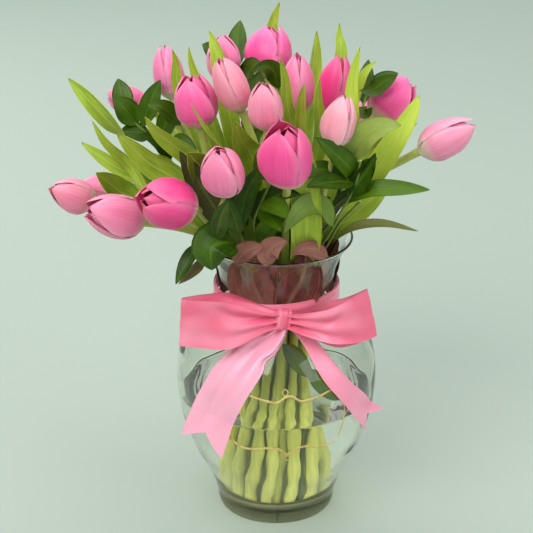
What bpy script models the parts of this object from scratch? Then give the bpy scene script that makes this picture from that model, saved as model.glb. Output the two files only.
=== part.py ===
"""Tulips in a glass vase: cut flowers with their water, vase and ribbon bow.

Frame: metres, +Z up, origin at the centre of the vase's underside, the bow on the -Y side.
Lengths in the tables are millimetres and are scaled by MM.
"""
import math

import bpy
import bmesh
import numpy as np
from mathutils import Vector

MM = 0.001
GAP = 0.3                 # clearance kept between neighbouring pieces, mm

# vase
VASE_HEIGHT = 267.0
WALL = 3.2                # side wall thickness
FLOOR = 12.0              # thickness of the solid base
WATER_LEVEL = 118.0
VASE_SIDES = 40
# outer radius against height, foot to rim
VASE_OUTER = ((54.0, 0.0), (54.6, 12.0), (60.5, 30.0), (68.0, 45.0), (78.9, 69.0), (87.8, 97.0),
              (91.4, 124.0), (90.8, 147.0), (86.0, 167.0), (73.5, 185.5), (60.6, 197.0), (53.0, 209.0),
              (51.6, 218.0), (51.8, 228.0), (54.2, 241.0), (60.6, 255.5), (69.0, VASE_HEIGHT))

# stems
STEM_SIDES = 6
STEM_R_FOOT = 4.2         # tulip stem radius at its cut end
STEM_R_HEAD = 3.4         # and under the bloom
SPRIG_R = 1.7             # ruscus stem radius
FOOT_Z = 13.5             # height of the cut ends, just above the vase floor
WAIST_Z = 188.0           # height where the bunch is narrowest
TWIST = math.radians(-32.0)   # the bunch is spiralled: turn between feet and waist
SPREAD = 1.26             # how much wider the feet stand than the waist
NECK_TURN = 0.12          # turn carried on above the waist, radians
NECK_SPREAD = 1.14
NECK_LENGTH = 6.0         # straight end of a stem under its bloom

# leaves
LEAF_T = 1.3              # thickness at the midrib
SPRIG_LEAF_T = 1.1

# ribbon: one satin band, tied round the neck in a bow
RIBBON_W = 46.0
RIBBON_T = 1.0
BAND_Z0, BAND_Z1 = 209.0, 225.0
BAND_R = 54.2
KNOT = (5.9, -61.2, 213.0)    # centre of the knot
KNOT_SIZE = (11.0, 9.6, 17.0)

# name, place in the waist (x, y), bloom base, bloom tip, bloom width, sway of the stem (x, y, z),
# how far the stem holds its direction above the waist, and below the bloom (shares of its length)
TULIPS = (
    ('01', (-25.0, -2.0), (-163, 16, 292), (-200, 6, 311), 32, (-10, -37, 11), 0.75, 0.36),
    ('02', (-19.0, 6.5), (-140, 40, 295), (-176, 42, 302), 23, (24, -11, 0), 0.36, 0.49),
    ('03', (-22.0, -11.5), (-115, -45, 298), (-161, -71, 320), 40, (24, 12, 0), 0.42, 0.36),
    ('04', (-14.0, -18.0), (-70, -74, 322), (-113, -100, 342), 45, (-50, -7, 2), 0.16, 0.48),
    ('05', (-4.5, -21.5), (-42, -84, 340), (-48, -104, 386), 38, (-49, -33, -7), 0.67, 0.42),
    ('06', (5.5, -21.0), (8, -83, 347), (6, -101, 404), 47, (-2, 30, 0), 0.28, 0.17),
    ('07', (-12.5, -8.5), (-65, -25, 378), (-73, -30, 426), 39, (-4, -2, 0), 0.41, 0.38),
    ('08', (-3.0, -7.0), (-30, -34, 395), (-48, -43, 443), 30, (0, 0, 0), 0.42, 0.36),
    ('09', (6.5, -11.0), (-8, -55, 386), (-12, -64, 429), 31, (-4, 10, 0), 0.49, 0.42),
    ('10', (16.5, -12.0), (47, -45, 367), (58, -43, 412), 31, (6, -24, 0), 0.42, 0.37),
    ('11', (25.5, -3.5), (126, 16, 341), (172, 14, 367), 36, (20, 17, 0), 0.69, 0.44),
    ('12', (20.0, 5.0), (89, 48, 360), (119, 56, 395), 43, (0, 0, 0), 0.42, 0.36),
    ('13', (-1.0, 7.0), (-9, 68, 394), (-5, 80, 437), 45, (0, -3, 0), 0.42, 0.36),
    ('14', (-10.0, 11.0), (-46, 53, 394), (-49, 58, 436), 32, (0, 0, 0), 0.42, 0.36),
    ('15', (-9.0, 1.0), (-92, 41, 381), (-100, 51, 427), 29, (13, -18, 0), 0.45, 0.30),
    ('16', (-18.5, 16.5), (-116, 54, 367), (-152, 62, 380), 29, (-6, 32, -2), 0.54, 0.25),
    ('17', (5.0, -1.0), (18, 4, 379), (18, -4, 435), 30, (0, 0, 0), 0.42, 0.36),
    ('18', (9.0, 8.5), (45, 10, 374), (55, 6, 432), 32, (0, 0, 0), 0.42, 0.36),
    ('19', (-10.0, 21.0), (-66, 94, 327), (-90, 114, 367), 36, (-9, -6, 0), 0.45, 0.32),
    ('20', (9.5, 18.5), (8, 102, 346), (10, 128, 390), 40, (15, -16, 6), 0.58, 0.26),
    ('21', (19.0, 15.0), (72, 90, 320), (98, 112, 358), 38, (-3, -18, 0), 0.42, 0.36),
    ('22', (0.0, 22.0), (-15, 132, 302), (-21, 169, 328), 38, (-28, -45, 46), 0.34, 0.44),
)
# owner, height on its stem, course to the tip, width, the way it faces (azimuth from the front, elevation)
LEAVES = (
    ('01', 258, ((-78, -8, 315), (-111, -6, 346), (-135, -22, 373), (-160, -25, 402), (-178, -12, 417)), 21, -61, 35),
    ('03', 284, ((-113, -22, 316), (-127, -8, 336), (-147, -15, 358), (-159, -13, 379)), 9, -24, 30),
    ('02', 292, ((-92, 24, 311), (-119, 12, 318), (-143, 11, 328), (-173, 20, 348)), 14, 15, 35),
    ('02', 262, ((-116, 2, 320), (-139, -1, 345), (-153, 11, 352)), 14, -60, 30),
    ('03', 258, ((-85, -21, 326), (-106, -26, 341), (-122, -31, 359), (-136, -36, 375)), 21, -23, 30),
    ('01', 272, ((-66, 2, 277), (-104, 3, 285), (-134, 8, 302), (-157, -20, 334)), 23, 20, 25),
    ('07', 256, ((-36, -19, 288), (-48, -26, 311), (-64, -34, 344), (-82, -43, 363), (-99, -52, 380), (-110, -62, 399)), 17, -29, 25),
    ('15', 240, ((-48, -38, 362), (-63, -69, 399), (-70, -92, 421)), 18, -45, 20),
    ('15', 300, ((-86, 15, 401), (-86, 16, 418), (-90, 13, 435)), 11, -2, 15),
    ('14', 262, ((-72, 19, 413), (-76, 18, 436)), 10, -10, 15),
    ('14', 300, ((-50, 34, 415), (-55, 39, 432), (-59, 44, 443)), 16, -10, 15),
    ('13', 300, ((2, 100, 388), (-5, 111, 416), (-3, 112, 434), (3, 112, 451)), 14, 0, 20),
    ('18', 290, ((56, 33, 422), (54, 45, 432), (55, 48, 449)), 13, 15, 10),
    ('10', 262, ((62, -26, 375), (62, -23, 401), (64, -19, 422), (70, -16, 446)), 13, 15, 15),
    ('12', 275, ((72, 24, 402), (87, 28, 420)), 12, 20, 20),
    ('09', 246, ((13, -26, 371), (8, -38, 397), (7, -50, 427), (2, -63, 450)), 11, 7, 15),
    ('06', 240, ((23, -28, 328), (21, -36, 365), (21, -55, 407), (22, -84, 434)), 13, -35, 15),
    ('17', 240, ((36, -8, 354), (34, -17, 399), (36, -26, 421)), 12, 20, 15),
    ('12', 270, ((60, 10, 274), (76, 3, 310), (90, 1, 334), (104, 2, 357), (117, 8, 378), (125, 19, 392)), 20, -1, 25),
    ('10', 226, ((25, -52, 281), (25, -71, 315), (25, -76, 342)), 22, -45, 15),
    ('08', 240, ((-19, -26, 344), (-29, -43, 368), (-35, -60, 394)), 16, 0, 15),
    ('08', 246, ((-1, 2, 304), (-10, -13, 324), (-17, -54, 367)), 15, -10, 15),
    ('05', 262, ((-37, -36, 298), (-52, -47, 333), (-74, -83, 375)), 30, 6, 20),
    ('11', 264, ((59, -8, 283), (82, -10, 305), (99, -4, 321)), 18, 21, 25),
    ('19', 236, ((-48, 50, 298), (-92, 81, 336), (-119, 111, 366)), 24, -90, 70),
    ('20', 240, ((17, 62, 315), (32, 94, 382), (37, 105, 426)), 26, 125, 15),
    ('21', 242, ((58, 56, 292), (100, 84, 322), (132, 104, 338)), 24, 140, 75),
    ('22', 232, ((-17, 55, 279), (-38, 100, 295), (-60, 145, 296)), 20, -160, 80),
    ('21', 266, ((40, 74, 300), (58, 106, 328), (70, 124, 346)), 20, 110, 70),
    ('20', 232, ((14, 50, 277), (35, 92, 295), (56, 136, 284)), 24, 150, 80),
)
# name, place in the waist, course above the neck, leaves (share of that course, tip, width)
SPRIGS = (
    ('front', (-1.0, -14.5), ((-21, -50, 300), (-5, -67, 344)), (
        (0.00, (-40, -100, 275), 33),
        (0.35, (3, -96, 310), 17),
        (0.50, (8, -112, 328), 20),
        (1.00, (-11, -55, 361), 20),
    )),
    ('rim_left', (-7.0, -14.0), ((-42, -32, 284), (-57, -33, 284)), (
        (1.00, (-84, -59, 248), 18),
        (0.30, (-64, -45, 298), 16),
    )),
    ('right_low', (17.5, -2.5), ((54, -28, 290), (72, -34, 313)), (
        (0.20, (118, -45, 278), 16),
        (1.00, (125, -29, 330), 20),
        (0.55, (110, -26, 289), 18),
    )),
    ('right', (12.0, -5.0), ((54, -39, 302), (67, -45, 331), (71, -49, 356)), (
        (0.95, (104, -46, 387), 24),
        (0.35, (84, -56, 361), 22),
        (0.75, (33, -80, 373), 20),
        (0.60, (24, -87, 346), 18),
    )),
    ('upper_right', (13.0, 1.5), ((59, 4, 337), (72, 20, 369), (80, 30, 391)), (
        (0.62, (117, 24, 380), 17),
        (1.00, (107, 36, 407), 17),
        (0.80, (81, 44, 417), 15),
    )),
    ('left_upper', (-16.5, -1.5), ((-77, 26, 334), (-112, 20, 354), (-134, 22, 376)), (
        (0.55, (-138, 10, 361), 20),
        (0.75, (-144, 18, 390), 22),
        (1.00, (-140, 36, 402), 18),
        (0.70, (-102, 26, 404), 18),
        (0.45, (-84, 6, 388), 20),
    )),
    ('top', (-3.0, 15.0), ((-27, 42, 357), (-34, 62, 384), (-46, 76, 408)), (
        (0.50, (-15, 28, 420), 26),
        (1.00, (-67, 82, 420), 18),
        (0.75, (-33, 116, 433), 18),
    )),
    ('back', (3.0, 14.0), ((-3, 46, 276), (-12, 72, 306), (-20, 108, 314)), (
        (0.40, (36, 136, 282), 26),
        (0.60, (-52, 110, 306), 26),
        (0.75, (30, 138, 322), 24),
        (1.00, (-24, 144, 340), 24),
        (1.00, (20, 134, 310), 22),
    )),
)

# bow loops: reach from the knot, depth and height of the far end; how far a loop opens and bows forward
LOOP_LEFT = (84.5, -62.0, 211.0, 0.066)
LOOP_RIGHT = (71.6, -62.0, 220.5, -0.21)
LOOP_OPEN = 11.0
LOOP_BOW = 14.0
# tails: azimuth from the front, height, width, lift off the glass
TAIL_LEFT = ((3, 195, 13, 3.0), (-7, 192.5, 20, 2.6), (-15, 188, 30, 2.6), (-21, 178, 38, 2.6),
             (-27, 163, 42, 2.4), (-32, 146, 43, 2.2), (-37, 128, 44, 2.4), (-40, 111, 45, 4.5), (-42.4, 94, 45, 7.5))
TAIL_RIGHT = ((12, 203, 12, 3.0), (19, 196.5, 14, 2.6), (25.5, 188, 17, 2.6), (30, 175, 20, 2.6),
              (36.5, 158, 26, 2.4), (46, 140, 34, 2.0), (56, 123, 42, 2.2), (68, 103, 44, 3.0))


# ---------------------------------------------------------------- helpers
for o in list(bpy.data.objects):
    bpy.data.objects.remove(o, do_unlink=True)


def material(name, rgb, rough, metal=0.0, alpha=1.0, transmission=0.0):
    m = bpy.data.materials.new(name)
    m.use_nodes = True
    b = m.node_tree.nodes["Principled BSDF"]
    b.inputs["Base Color"].default_value = (*rgb, 1.0)
    b.inputs["Roughness"].default_value = rough
    b.inputs["Metallic"].default_value = metal
    b.inputs["Transmission Weight"].default_value = transmission
    m.diffuse_color = (*rgb, alpha)
    return m


def mesh_object(name, verts, faces, mat, smooth=True):
    """verts in mm; faces turned to point outwards"""
    me = bpy.data.meshes.new(name)
    me.from_pydata([tuple(float(c) * MM for c in v) for v in verts], [], faces)
    bm = bmesh.new()
    bm.from_mesh(me)
    bmesh.ops.recalc_face_normals(bm, faces=bm.faces)
    if bm.calc_volume(signed=True) < 0:
        bmesh.ops.reverse_faces(bm, faces=bm.faces)
    bm.to_mesh(me)
    bm.free()
    if smooth:
        me.shade_smooth()
        me.set_sharp_from_angle(angle=math.radians(40))
    ob = bpy.data.objects.new(name, me)
    bpy.context.scene.collection.objects.link(ob)
    me.materials.append(mat)
    return ob


def boolean(ob, tool, operation):
    """union or difference with EXACT, then the tool is dropped"""
    mod = ob.modifiers.new("b", "BOOLEAN")
    mod.operation = operation
    mod.solver = "EXACT"
    mod.object = tool
    bpy.context.view_layer.update()
    me = bpy.data.meshes.new_from_object(ob.evaluated_get(bpy.context.evaluated_depsgraph_get()))
    old = ob.data
    ob.modifiers.clear()
    ob.data = me
    bpy.data.meshes.remove(old)
    me.name = ob.name
    bpy.data.objects.remove(tool, do_unlink=True)
    return ob


def unit(v):
    v = np.asarray(v, float)
    return v / (np.linalg.norm(v) + 1e-12)


def turn(xy, a):
    return np.array([xy[0] * math.cos(a) - xy[1] * math.sin(a), xy[0] * math.sin(a) + xy[1] * math.cos(a)])


def catmull(points, n):
    """smooth curve through the points, n steps a span"""
    p = np.asarray(points, float)
    q = np.vstack([2 * p[0] - p[1], p, 2 * p[-1] - p[-2]])
    out = []
    for i in range(1, len(q) - 2):
        for t in np.linspace(0, 1, n, endpoint=False):
            a, b, c, d = q[i - 1:i + 3]
            out.append(0.5 * (2 * b + (c - a) * t + (2 * a - 5 * b + 4 * c - d) * t * t
                              + (3 * b - 3 * c + d - a) * t ** 3))
    out.append(p[-1])
    return np.array(out)


def resample(points, n, ease=1.0):
    p = np.asarray(points, float)
    s = np.r_[0, np.cumsum(np.linalg.norm(np.diff(p, axis=0), axis=1))]
    u = np.linspace(0, 1, n) ** ease * s[-1]
    return np.stack([np.interp(u, s, p[:, i]) for i in range(3)], 1)


def lamina_mesh(rings):
    """rings of four points (edge, face, edge, back) between two tips, both faces split along the same diagonals"""
    verts, faces, idx = [], [], []
    for r in rings:
        idx.append(list(range(len(verts), len(verts) + len(r))))
        verts.extend(r)
    for a, b in zip(idx[:-1], idx[1:]):
        if len(a) == 1:
            faces.extend([(a[0], b[i], b[(i + 1) % 4]) for i in range(4)])
        elif len(b) == 1:
            faces.extend([(a[i], a[(i + 1) % 4], b[0]) for i in range(4)])
        else:
            faces.extend([(a[0], a[1], b[1]), (a[0], b[1], b[0]), (a[1], a[2], b[1]), (a[2], b[2], b[1]),
                          (a[2], a[3], b[3]), (a[2], b[3], b[2]), (a[3], a[0], b[3]), (a[0], b[0], b[3])])
    return verts, faces


def rings_mesh(rings, cap0=True, cap1=True):
    """rings of equal count, each a list of points or one point for a tip"""
    verts, faces, idx = [], [], []
    for r in rings:
        idx.append(list(range(len(verts), len(verts) + len(r))))
        verts.extend(r)
    for a, b in zip(idx[:-1], idx[1:]):
        n = max(len(a), len(b))
        for i in range(n):
            j = (i + 1) % n
            if len(a) == 1:
                faces.append((a[0], b[i], b[j]))
            elif len(b) == 1:
                faces.append((a[i], a[j], b[0]))
            else:
                faces.append((a[i], a[j], b[j], b[i]))
    if cap0 and len(idx[0]) > 2:
        faces.append(tuple(reversed(idx[0])))
    if cap1 and len(idx[-1]) > 2:
        faces.append(tuple(idx[-1]))
    return verts, faces


def tube(name, path, radii, sides, mat):
    """round bar along a path, with frames carried along it"""
    path = np.asarray(path, float)
    t = np.gradient(path, axis=0)
    side = unit(np.cross(t[0], (0.0, 1.0, 0.0)))
    rings = []
    for p, d, r in zip(path, t, radii):
        d = unit(d)
        side = unit(side - d * np.dot(side, d))
        up = np.cross(d, side)
        rings.append([p + r * (side * math.cos(a) + up * math.sin(a))
                      for a in np.linspace(0, 2 * math.pi, sides, endpoint=False)])
    return mesh_object(name, *rings_mesh(rings), mat)


def facing(az, el):
    a, e = math.radians(az), math.radians(el)
    return np.array([math.sin(a) * math.cos(e), -math.cos(a) * math.cos(e), math.sin(e)])


def blade(name, line, width, thick, face, mat, fold=0.12, first=0.25, stations=6):
    """leaf: a thin pointed lamina along a line, folded a little along its midrib"""
    c = resample(line, stations)
    t = np.gradient(c, axis=0)
    rings = [[c[0]]]
    for i in range(1, stations - 1):
        u = i / (stations - 1)
        w = width * math.sin(math.pi * min(1.0, first + (1 - first) * u)) ** 0.8
        s = unit(np.cross(t[i], face))
        n = unit(np.cross(s, t[i]))
        rings.append([c[i] - s * w / 2 + n * fold * w, c[i] + n * thick / 2,
                      c[i] + s * w / 2 + n * fold * w, c[i] - n * thick / 2])
    rings.append([c[-1]])
    return mesh_object(name, *lamina_mesh(rings), mat)


def vase_radius(z, inside=False):
    r = float(np.interp(z, [p[1] for p in VASE_OUTER], [p[0] for p in VASE_OUTER]))
    return r - WALL if inside else r


def turned(name, profile, sides, mat):
    """closed profile, (radius, height) from the axis round to the axis"""
    rings = []
    for r, z in profile:
        if r < 1e-6:
            rings.append([(0.0, 0.0, z)])
        else:
            rings.append([(r * math.cos(a), r * math.sin(a), z)
                          for a in np.linspace(0, 2 * math.pi, sides, endpoint=False)])
    return mesh_object(name, *rings_mesh(rings, False, False), mat)


# ---------------------------------------------------------------- materials
GLASS = material("glass", (0.86, 0.93, 0.91), 0.03, 0, 0.3, 1.0)
WATER = material("water", (0.80, 0.92, 0.90), 0.02, 0, 0.4, 1.0)
PETAL = material("petal", (0.86, 0.20, 0.42), 0.45)
PALE = material("petal_pale", (0.93, 0.42, 0.50), 0.45)
STEM = material("tulip_green", (0.33, 0.45, 0.12), 0.45)
RUSCUS = material("ruscus_green", (0.05, 0.13, 0.02), 0.35)
SATIN = material("satin", (0.90, 0.22, 0.38), 0.3)


# ---------------------------------------------------------------- paths
def stem_path(slot, base, direction, sway, hold, settle, low=5, high=8):
    """cut end, spiral up to the waist, then one easy curve to the bloom"""
    s = np.array(slot, float)
    pts = []
    for t in np.linspace(0, 1, low)[:-1]:
        e = 0.5 * t * t * (3 - 2 * t) + 0.5 * t
        xy = turn(s, TWIST * (1 - t)) * (SPREAD + (1 - SPREAD) * e)
        pts.append((xy[0], xy[1], FOOT_Z + (WAIST_Z - FOOT_Z) * t))
    b = np.array([s[0], s[1], WAIST_Z])
    t0 = np.array([*((turn(s, NECK_TURN / 2) * NECK_SPREAD - s) / 56.0), 1.0])
    span = np.linalg.norm(base - b)
    end = base - direction * NECK_LENGTH
    p1 = b + t0 * span * hold
    p2 = end - direction * span * settle + np.array(sway, float)
    for t in np.linspace(0, 1, high):
        pts.append((1 - t) ** 3 * b + 3 * (1 - t) ** 2 * t * p1 + 3 * (1 - t) * t * t * p2 + t ** 3 * end)
    pts.append(base)
    return np.array(pts)


def on_path(path, z):
    """the point of a stem at a height"""
    for a, b in zip(path[:-1], path[1:]):
        if a[2] <= z <= b[2]:
            return a + (b - a) * (z - a[2]) / (b[2] - a[2] + 1e-9)
    return path[int(np.argmin(np.abs(path[:, 2] - z)))]


# ---------------------------------------------------------------- vase and water
outer = [(0.0, 0.0)] + list(VASE_OUTER)
heights = (232.0, 218.0, 205.0, 195.0, 184.0, 166.0, 146.0, WATER_LEVEL, 95.0, 68.0, 44.0, 28.0)
inner = [(67.6, VASE_HEIGHT + 1.2), (64.6, 265.5), (56.4, 252.5)]
inner += [(vase_radius(z, True), z) for z in heights]
inner += [(46.0, FLOOR + 3.0), (38.0, FLOOR), (0.0, FLOOR)]
turned("vase", outer + inner, VASE_SIDES, GLASS)

level = [(0.0, FLOOR + GAP), (37.8, FLOOR + GAP), (45.7, FLOOR + 3.0 + GAP)]
level += [(vase_radius(z, True) - GAP, z) for z in reversed(heights) if z < WATER_LEVEL]
level += [(vase_radius(WATER_LEVEL, True) - GAP, WATER_LEVEL), (0.0, WATER_LEVEL)]
water = turned("water", level, VASE_SIDES, WATER)


# ---------------------------------------------------------------- tulips
def bloom(name, base, tip, width, openness, mat):
    """six petals closed into a cup: a hollow shell with a scalloped mouth"""
    d = unit(tip - base)
    length = np.linalg.norm(tip - base)
    side = unit(np.cross(d, (0.31, -0.95, 0.1)))
    up = np.cross(d, side)
    profile = ((0.0, 0.16), (0.07, 0.56), (0.26, 0.91), (0.58, 0.99), (0.90, 0.62 + 0.22 * openness))
    wall = 2.4
    outer_rings, inner_rings = [[base]], []
    for u, k in profile[1:]:
        ring, inside = [], []
        for j in range(12):
            a = 2 * math.pi * j / 12
            lobe = 1.0 if j % 2 == 0 else 0.0
            r = width / 2 * k * (0.94 + 0.06 * lobe)
            h = u + (0.09 * lobe if u > 0.85 else 0.0)
            v = side * math.cos(a) + up * math.sin(a)
            ring.append(base + d * length * h + v * r)
            if u > 0.1:
                inside.append(base + d * (length * h - (0.0 if u > 0.85 else 0.6)) + v * (r - wall))
        outer_rings.append(ring)
        if inside:
            inner_rings.append(inside)
    rings = outer_rings + list(reversed(inner_rings)) + [[base + d * length * 0.12]]
    return mesh_object(name, *rings_mesh(rings, False, False), mat)


OPEN = {"03": 0.5, "04": 1.0, "06": 0.6, "07": 0.5, "12": 0.6, "13": 0.6, "20": 0.5}
paths = {}
for key, slot, base, tip, width, sway, hold, settle in TULIPS:
    base, tip = np.array(base, float), np.array(tip, float)
    d = unit(tip - base)
    mat = PALE if key in ("01", "05", "08", "09", "10", "11") else PETAL
    bloom("tulip_%s_bloom" % key, base + d * GAP, tip, width, OPEN.get(key, 0.0), mat)
    path = stem_path(slot, base - d * GAP, d, sway, hold, settle)
    paths[key] = path
    radii = np.linspace(STEM_R_FOOT, STEM_R_HEAD, len(path))
    stem = tube("tulip_%s_stem" % key, path, radii, STEM_SIDES, STEM)
    for owner, z, route, w, az, el in LEAVES:
        if owner == key:
            line = catmull([on_path(path, z)] + [np.array(p, float) for p in route], 6)
            leaf = blade("leaf", line, w, LEAF_T, facing(az, el), STEM)
            boolean(stem, leaf, "UNION")
    tool = tube("cut", np.vstack([path[0] - (path[1] - path[0]) * 0.1, path[:5]]), [r + GAP + 0.05 for r in radii[:6]],
                STEM_SIDES, STEM)
    boolean(water, tool, "DIFFERENCE")

# ---------------------------------------------------------------- ruscus sprigs
for key, slot, route, leaves in SPRIGS:
    first = np.array(route[0], float)
    w = np.array([slot[0], slot[1], WAIST_Z])
    path = stem_path(slot, first, unit(first - w), (0, 0, 0), 0.42, 0.36, 5, 4)
    shown = catmull(route, 6)
    course = resample(shown, 5)
    whole = np.vstack([path[:-1], course])
    stem = tube("ruscus_" + key, whole, [SPRIG_R] * len(whole), 5, RUSCUS)
    for share, tip, width in leaves:
        u = np.linspace(0, 1, len(course))
        a = np.array([np.interp(min(share, 0.97), u, course[:, i]) for i in range(3)])
        tip = np.array(tip, float)
        a = a - unit(tip - a) * 1.2
        crown = (a + tip) / 2 + np.array([0, 0, 0.10 * np.linalg.norm(tip - a)])
        line = [(1 - t) ** 2 * a + 2 * (1 - t) * t * crown + t * t * tip for t in np.linspace(0, 1, 8)]
        face = (0.0, 0.6, 0.8) if key == "back" else (0.0, -0.7, 0.75)
        leaf = blade("leaf", line, width, SPRIG_LEAF_T, np.array(face), RUSCUS, 0.06, 0.10, 5)
        boolean(stem, leaf, "UNION")
    tool = tube("cut", np.vstack([path[0] - (path[1] - path[0]) * 0.1, path[:5]]), [SPRIG_R + GAP + 0.05] * 6, 5, STEM)
    boolean(water, tool, "DIFFERENCE")


# ---------------------------------------------------------------- ribbon
def strip(name, stations, mat):
    """band from rows of outer points and the outward direction at each"""
    rings = []
    for row, out in stations:
        outer_row = [p + o * RIBBON_T for p, o in zip(row, out)]
        rings.append(list(row) + list(reversed(outer_row)))
    return mesh_object(name, *rings_mesh(rings), mat)


turned_band = []
for r, z in ((BAND_R, BAND_Z0), (BAND_R + RIBBON_T, BAND_Z0), (BAND_R + RIBBON_T + 0.5, (BAND_Z0 + BAND_Z1) / 2),
             (BAND_R + RIBBON_T, BAND_Z1), (BAND_R, BAND_Z1)):
    turned_band.append([(r * math.cos(a), r * math.sin(a), z)
                        for a in np.linspace(0, 2 * math.pi, 36, endpoint=False)])
turned_band.append(turned_band[0])
verts, faces, n = [], [], 36
for ring in turned_band[:-1]:
    verts.extend(ring)
for k in range(5):
    for i in range(n):
        j = (i + 1) % n
        k2 = (k + 1) % 5
        faces.append((k * n + i, k * n + j, k2 * n + j, k2 * n + i))
mesh_object("ribbon_neck_band", verts, faces, SATIN)

kx, ky, kz = KNOT
rings = []
for u in np.linspace(-1, 1, 5):
    k = math.sqrt(max(0.0, 1 - 0.55 * u * u))
    rings.append([(kx + KNOT_SIZE[0] / 2 * k * math.cos(a), ky + KNOT_SIZE[1] / 2 * k * math.sin(a),
                   kz + KNOT_SIZE[2] / 2 * u) for a in np.linspace(0, 2 * math.pi, 10, endpoint=False)])
mesh_object("ribbon_knot", *rings_mesh(rings), SATIN)


def loop(name, reach, end_y, end_z, lean, sign):
    """teardrop loop: out along the front, round the end and back behind, taller away from the knot"""
    stations, n = [], 20
    root = np.array([kx + sign * (KNOT_SIZE[0] / 2 + 0.8), ky, kz])
    for i in range(n):
        a = 2 * math.pi * i / (n - 1)               # 0 front root, full turn back root
        along = ((1 - math.cos(a)) / 2) ** 0.8      # 0 at the knot, 1 at the far end
        open_ = math.sin(a) * LOOP_OPEN * (0.35 + 0.65 * (1 - abs(2 * along - 1)))
        back = -1.7 if i < n / 2 else 1.7
        x = root[0] + sign * reach * along
        y = root[1] + (end_y - root[1]) * along ** 1.3 - LOOP_BOW * math.sin(math.pi * along) - open_ + back * (1 - along)
        z = root[2] + (end_z - root[2]) * along
        tall = KNOT_SIZE[2] - 3.0 + (RIBBON_W - 1.0 - KNOT_SIZE[2] + 3.0) * min(1.0, along * 1.3) ** 0.8
        stations.append((x, y, z, tall, lean * along))
    mid = np.array([[s[0], s[1]] for s in stations])
    tang = np.gradient(mid, axis=0)
    rows = []
    for (x, y, z, tall, k), t in zip(stations, tang):
        nrm = unit((t[1] * sign, -t[0] * sign, 0.0))
        rows.append(([np.array([x - k * tall / 2, y, z - tall / 2]), np.array([x, y, z]),
                      np.array([x + k * tall / 2, y, z + tall / 2])],
                     [nrm, nrm, nrm]))
    return strip(name, rows, SATIN)


loop("ribbon_loop_left", LOOP_LEFT[0], LOOP_LEFT[1], LOOP_LEFT[2], LOOP_LEFT[3], -1)
loop("ribbon_loop_right", LOOP_RIGHT[0], LOOP_RIGHT[1], LOOP_RIGHT[2], LOOP_RIGHT[3], 1)


def drape_radius(z):
    """the tails lie on the shoulder and hang straight below the widest place"""
    return vase_radius(max(z, 124.0))


def tail(name, course):
    """ribbon end laid over the shoulder: (azimuth, height, width, lift) along its centre, swallow-tailed"""
    rows = []
    pts = []
    for az, z, w, lift in course:
        r = drape_radius(z) + lift
        a = math.radians(az)
        pts.append(np.array([r * math.sin(a), -r * math.cos(a), z]))
    tang = np.gradient(np.array(pts), axis=0)
    last = len(course) - 1
    for i, ((az, z, w, lift), p, t) in enumerate(zip(course, pts, tang)):
        a = math.radians(az)
        n = np.array([math.sin(a), -math.cos(a), 0.0])
        s = unit(np.cross(t, n))
        row, out = [], []
        for k in np.linspace(-0.5, 0.5, 5):
            q = p + s * k * w
            if i == last:
                q = q - unit(t) * 18.0 * (1 - 2 * abs(k))
            aq = math.atan2(q[0], -q[1])
            rq = drape_radius(q[2]) + lift
            row.append(np.array([rq * math.sin(aq), -rq * math.cos(aq), q[2]]))
            out.append(np.array([math.sin(aq), -math.cos(aq), 0.0]))
        rows.append((row, out))
    return strip(name, rows, SATIN)


tail("ribbon_tail_left", TAIL_LEFT)
tail("ribbon_tail_right", TAIL_RIGHT)
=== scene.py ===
"""The looks of a bunch of tulips in a glass vase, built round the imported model."""
import math

import bpy
import numpy as np
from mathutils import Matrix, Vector


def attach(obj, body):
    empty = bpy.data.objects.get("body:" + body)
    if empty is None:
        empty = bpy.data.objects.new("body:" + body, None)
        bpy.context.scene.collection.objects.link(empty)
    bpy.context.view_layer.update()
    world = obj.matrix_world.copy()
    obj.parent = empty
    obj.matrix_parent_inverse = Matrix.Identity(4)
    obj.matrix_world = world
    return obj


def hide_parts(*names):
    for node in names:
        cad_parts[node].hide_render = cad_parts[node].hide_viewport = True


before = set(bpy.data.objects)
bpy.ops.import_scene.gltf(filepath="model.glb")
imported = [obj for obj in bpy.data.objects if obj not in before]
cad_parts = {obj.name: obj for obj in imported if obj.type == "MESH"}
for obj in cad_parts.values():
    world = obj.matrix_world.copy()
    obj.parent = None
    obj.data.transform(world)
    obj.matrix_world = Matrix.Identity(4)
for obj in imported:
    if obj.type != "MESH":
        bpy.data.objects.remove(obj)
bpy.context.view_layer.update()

MM = 0.001
RNG = np.random.default_rng(41)

# ------------------------------------------------------------------ the layout, as in the CAD, mm
VASE_HEIGHT, WALL, FLOOR, WATER_LEVEL = 267.0, 3.2, 12.0, 118.0
VASE_OUTER = ((54.0, 0.0), (54.6, 12.0), (60.5, 30.0), (68.0, 45.0), (78.9, 69.0), (87.8, 97.0),
              (91.4, 124.0), (90.8, 147.0), (86.0, 167.0), (73.5, 185.5), (60.6, 197.0), (53.0, 209.0),
              (51.6, 218.0), (51.8, 228.0), (54.2, 241.0), (60.6, 255.5), (69.0, VASE_HEIGHT))
STEM_R_FOOT, STEM_R_HEAD, SPRIG_R = 4.2, 3.4, 1.7
FOOT_Z, WAIST_Z, TWIST, SPREAD = 13.5, 188.0, math.radians(-32.0), 1.26
NECK_TURN, NECK_SPREAD, NECK_LENGTH = 0.12, 1.14, 6.0
RIBBON_W = 46.0
BAND_Z0, BAND_Z1, BAND_R = 209.0, 225.0, 54.2
KNOT, KNOT_SIZE = (5.9, -61.2, 213.0), (11.0, 9.6, 17.0)
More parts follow.
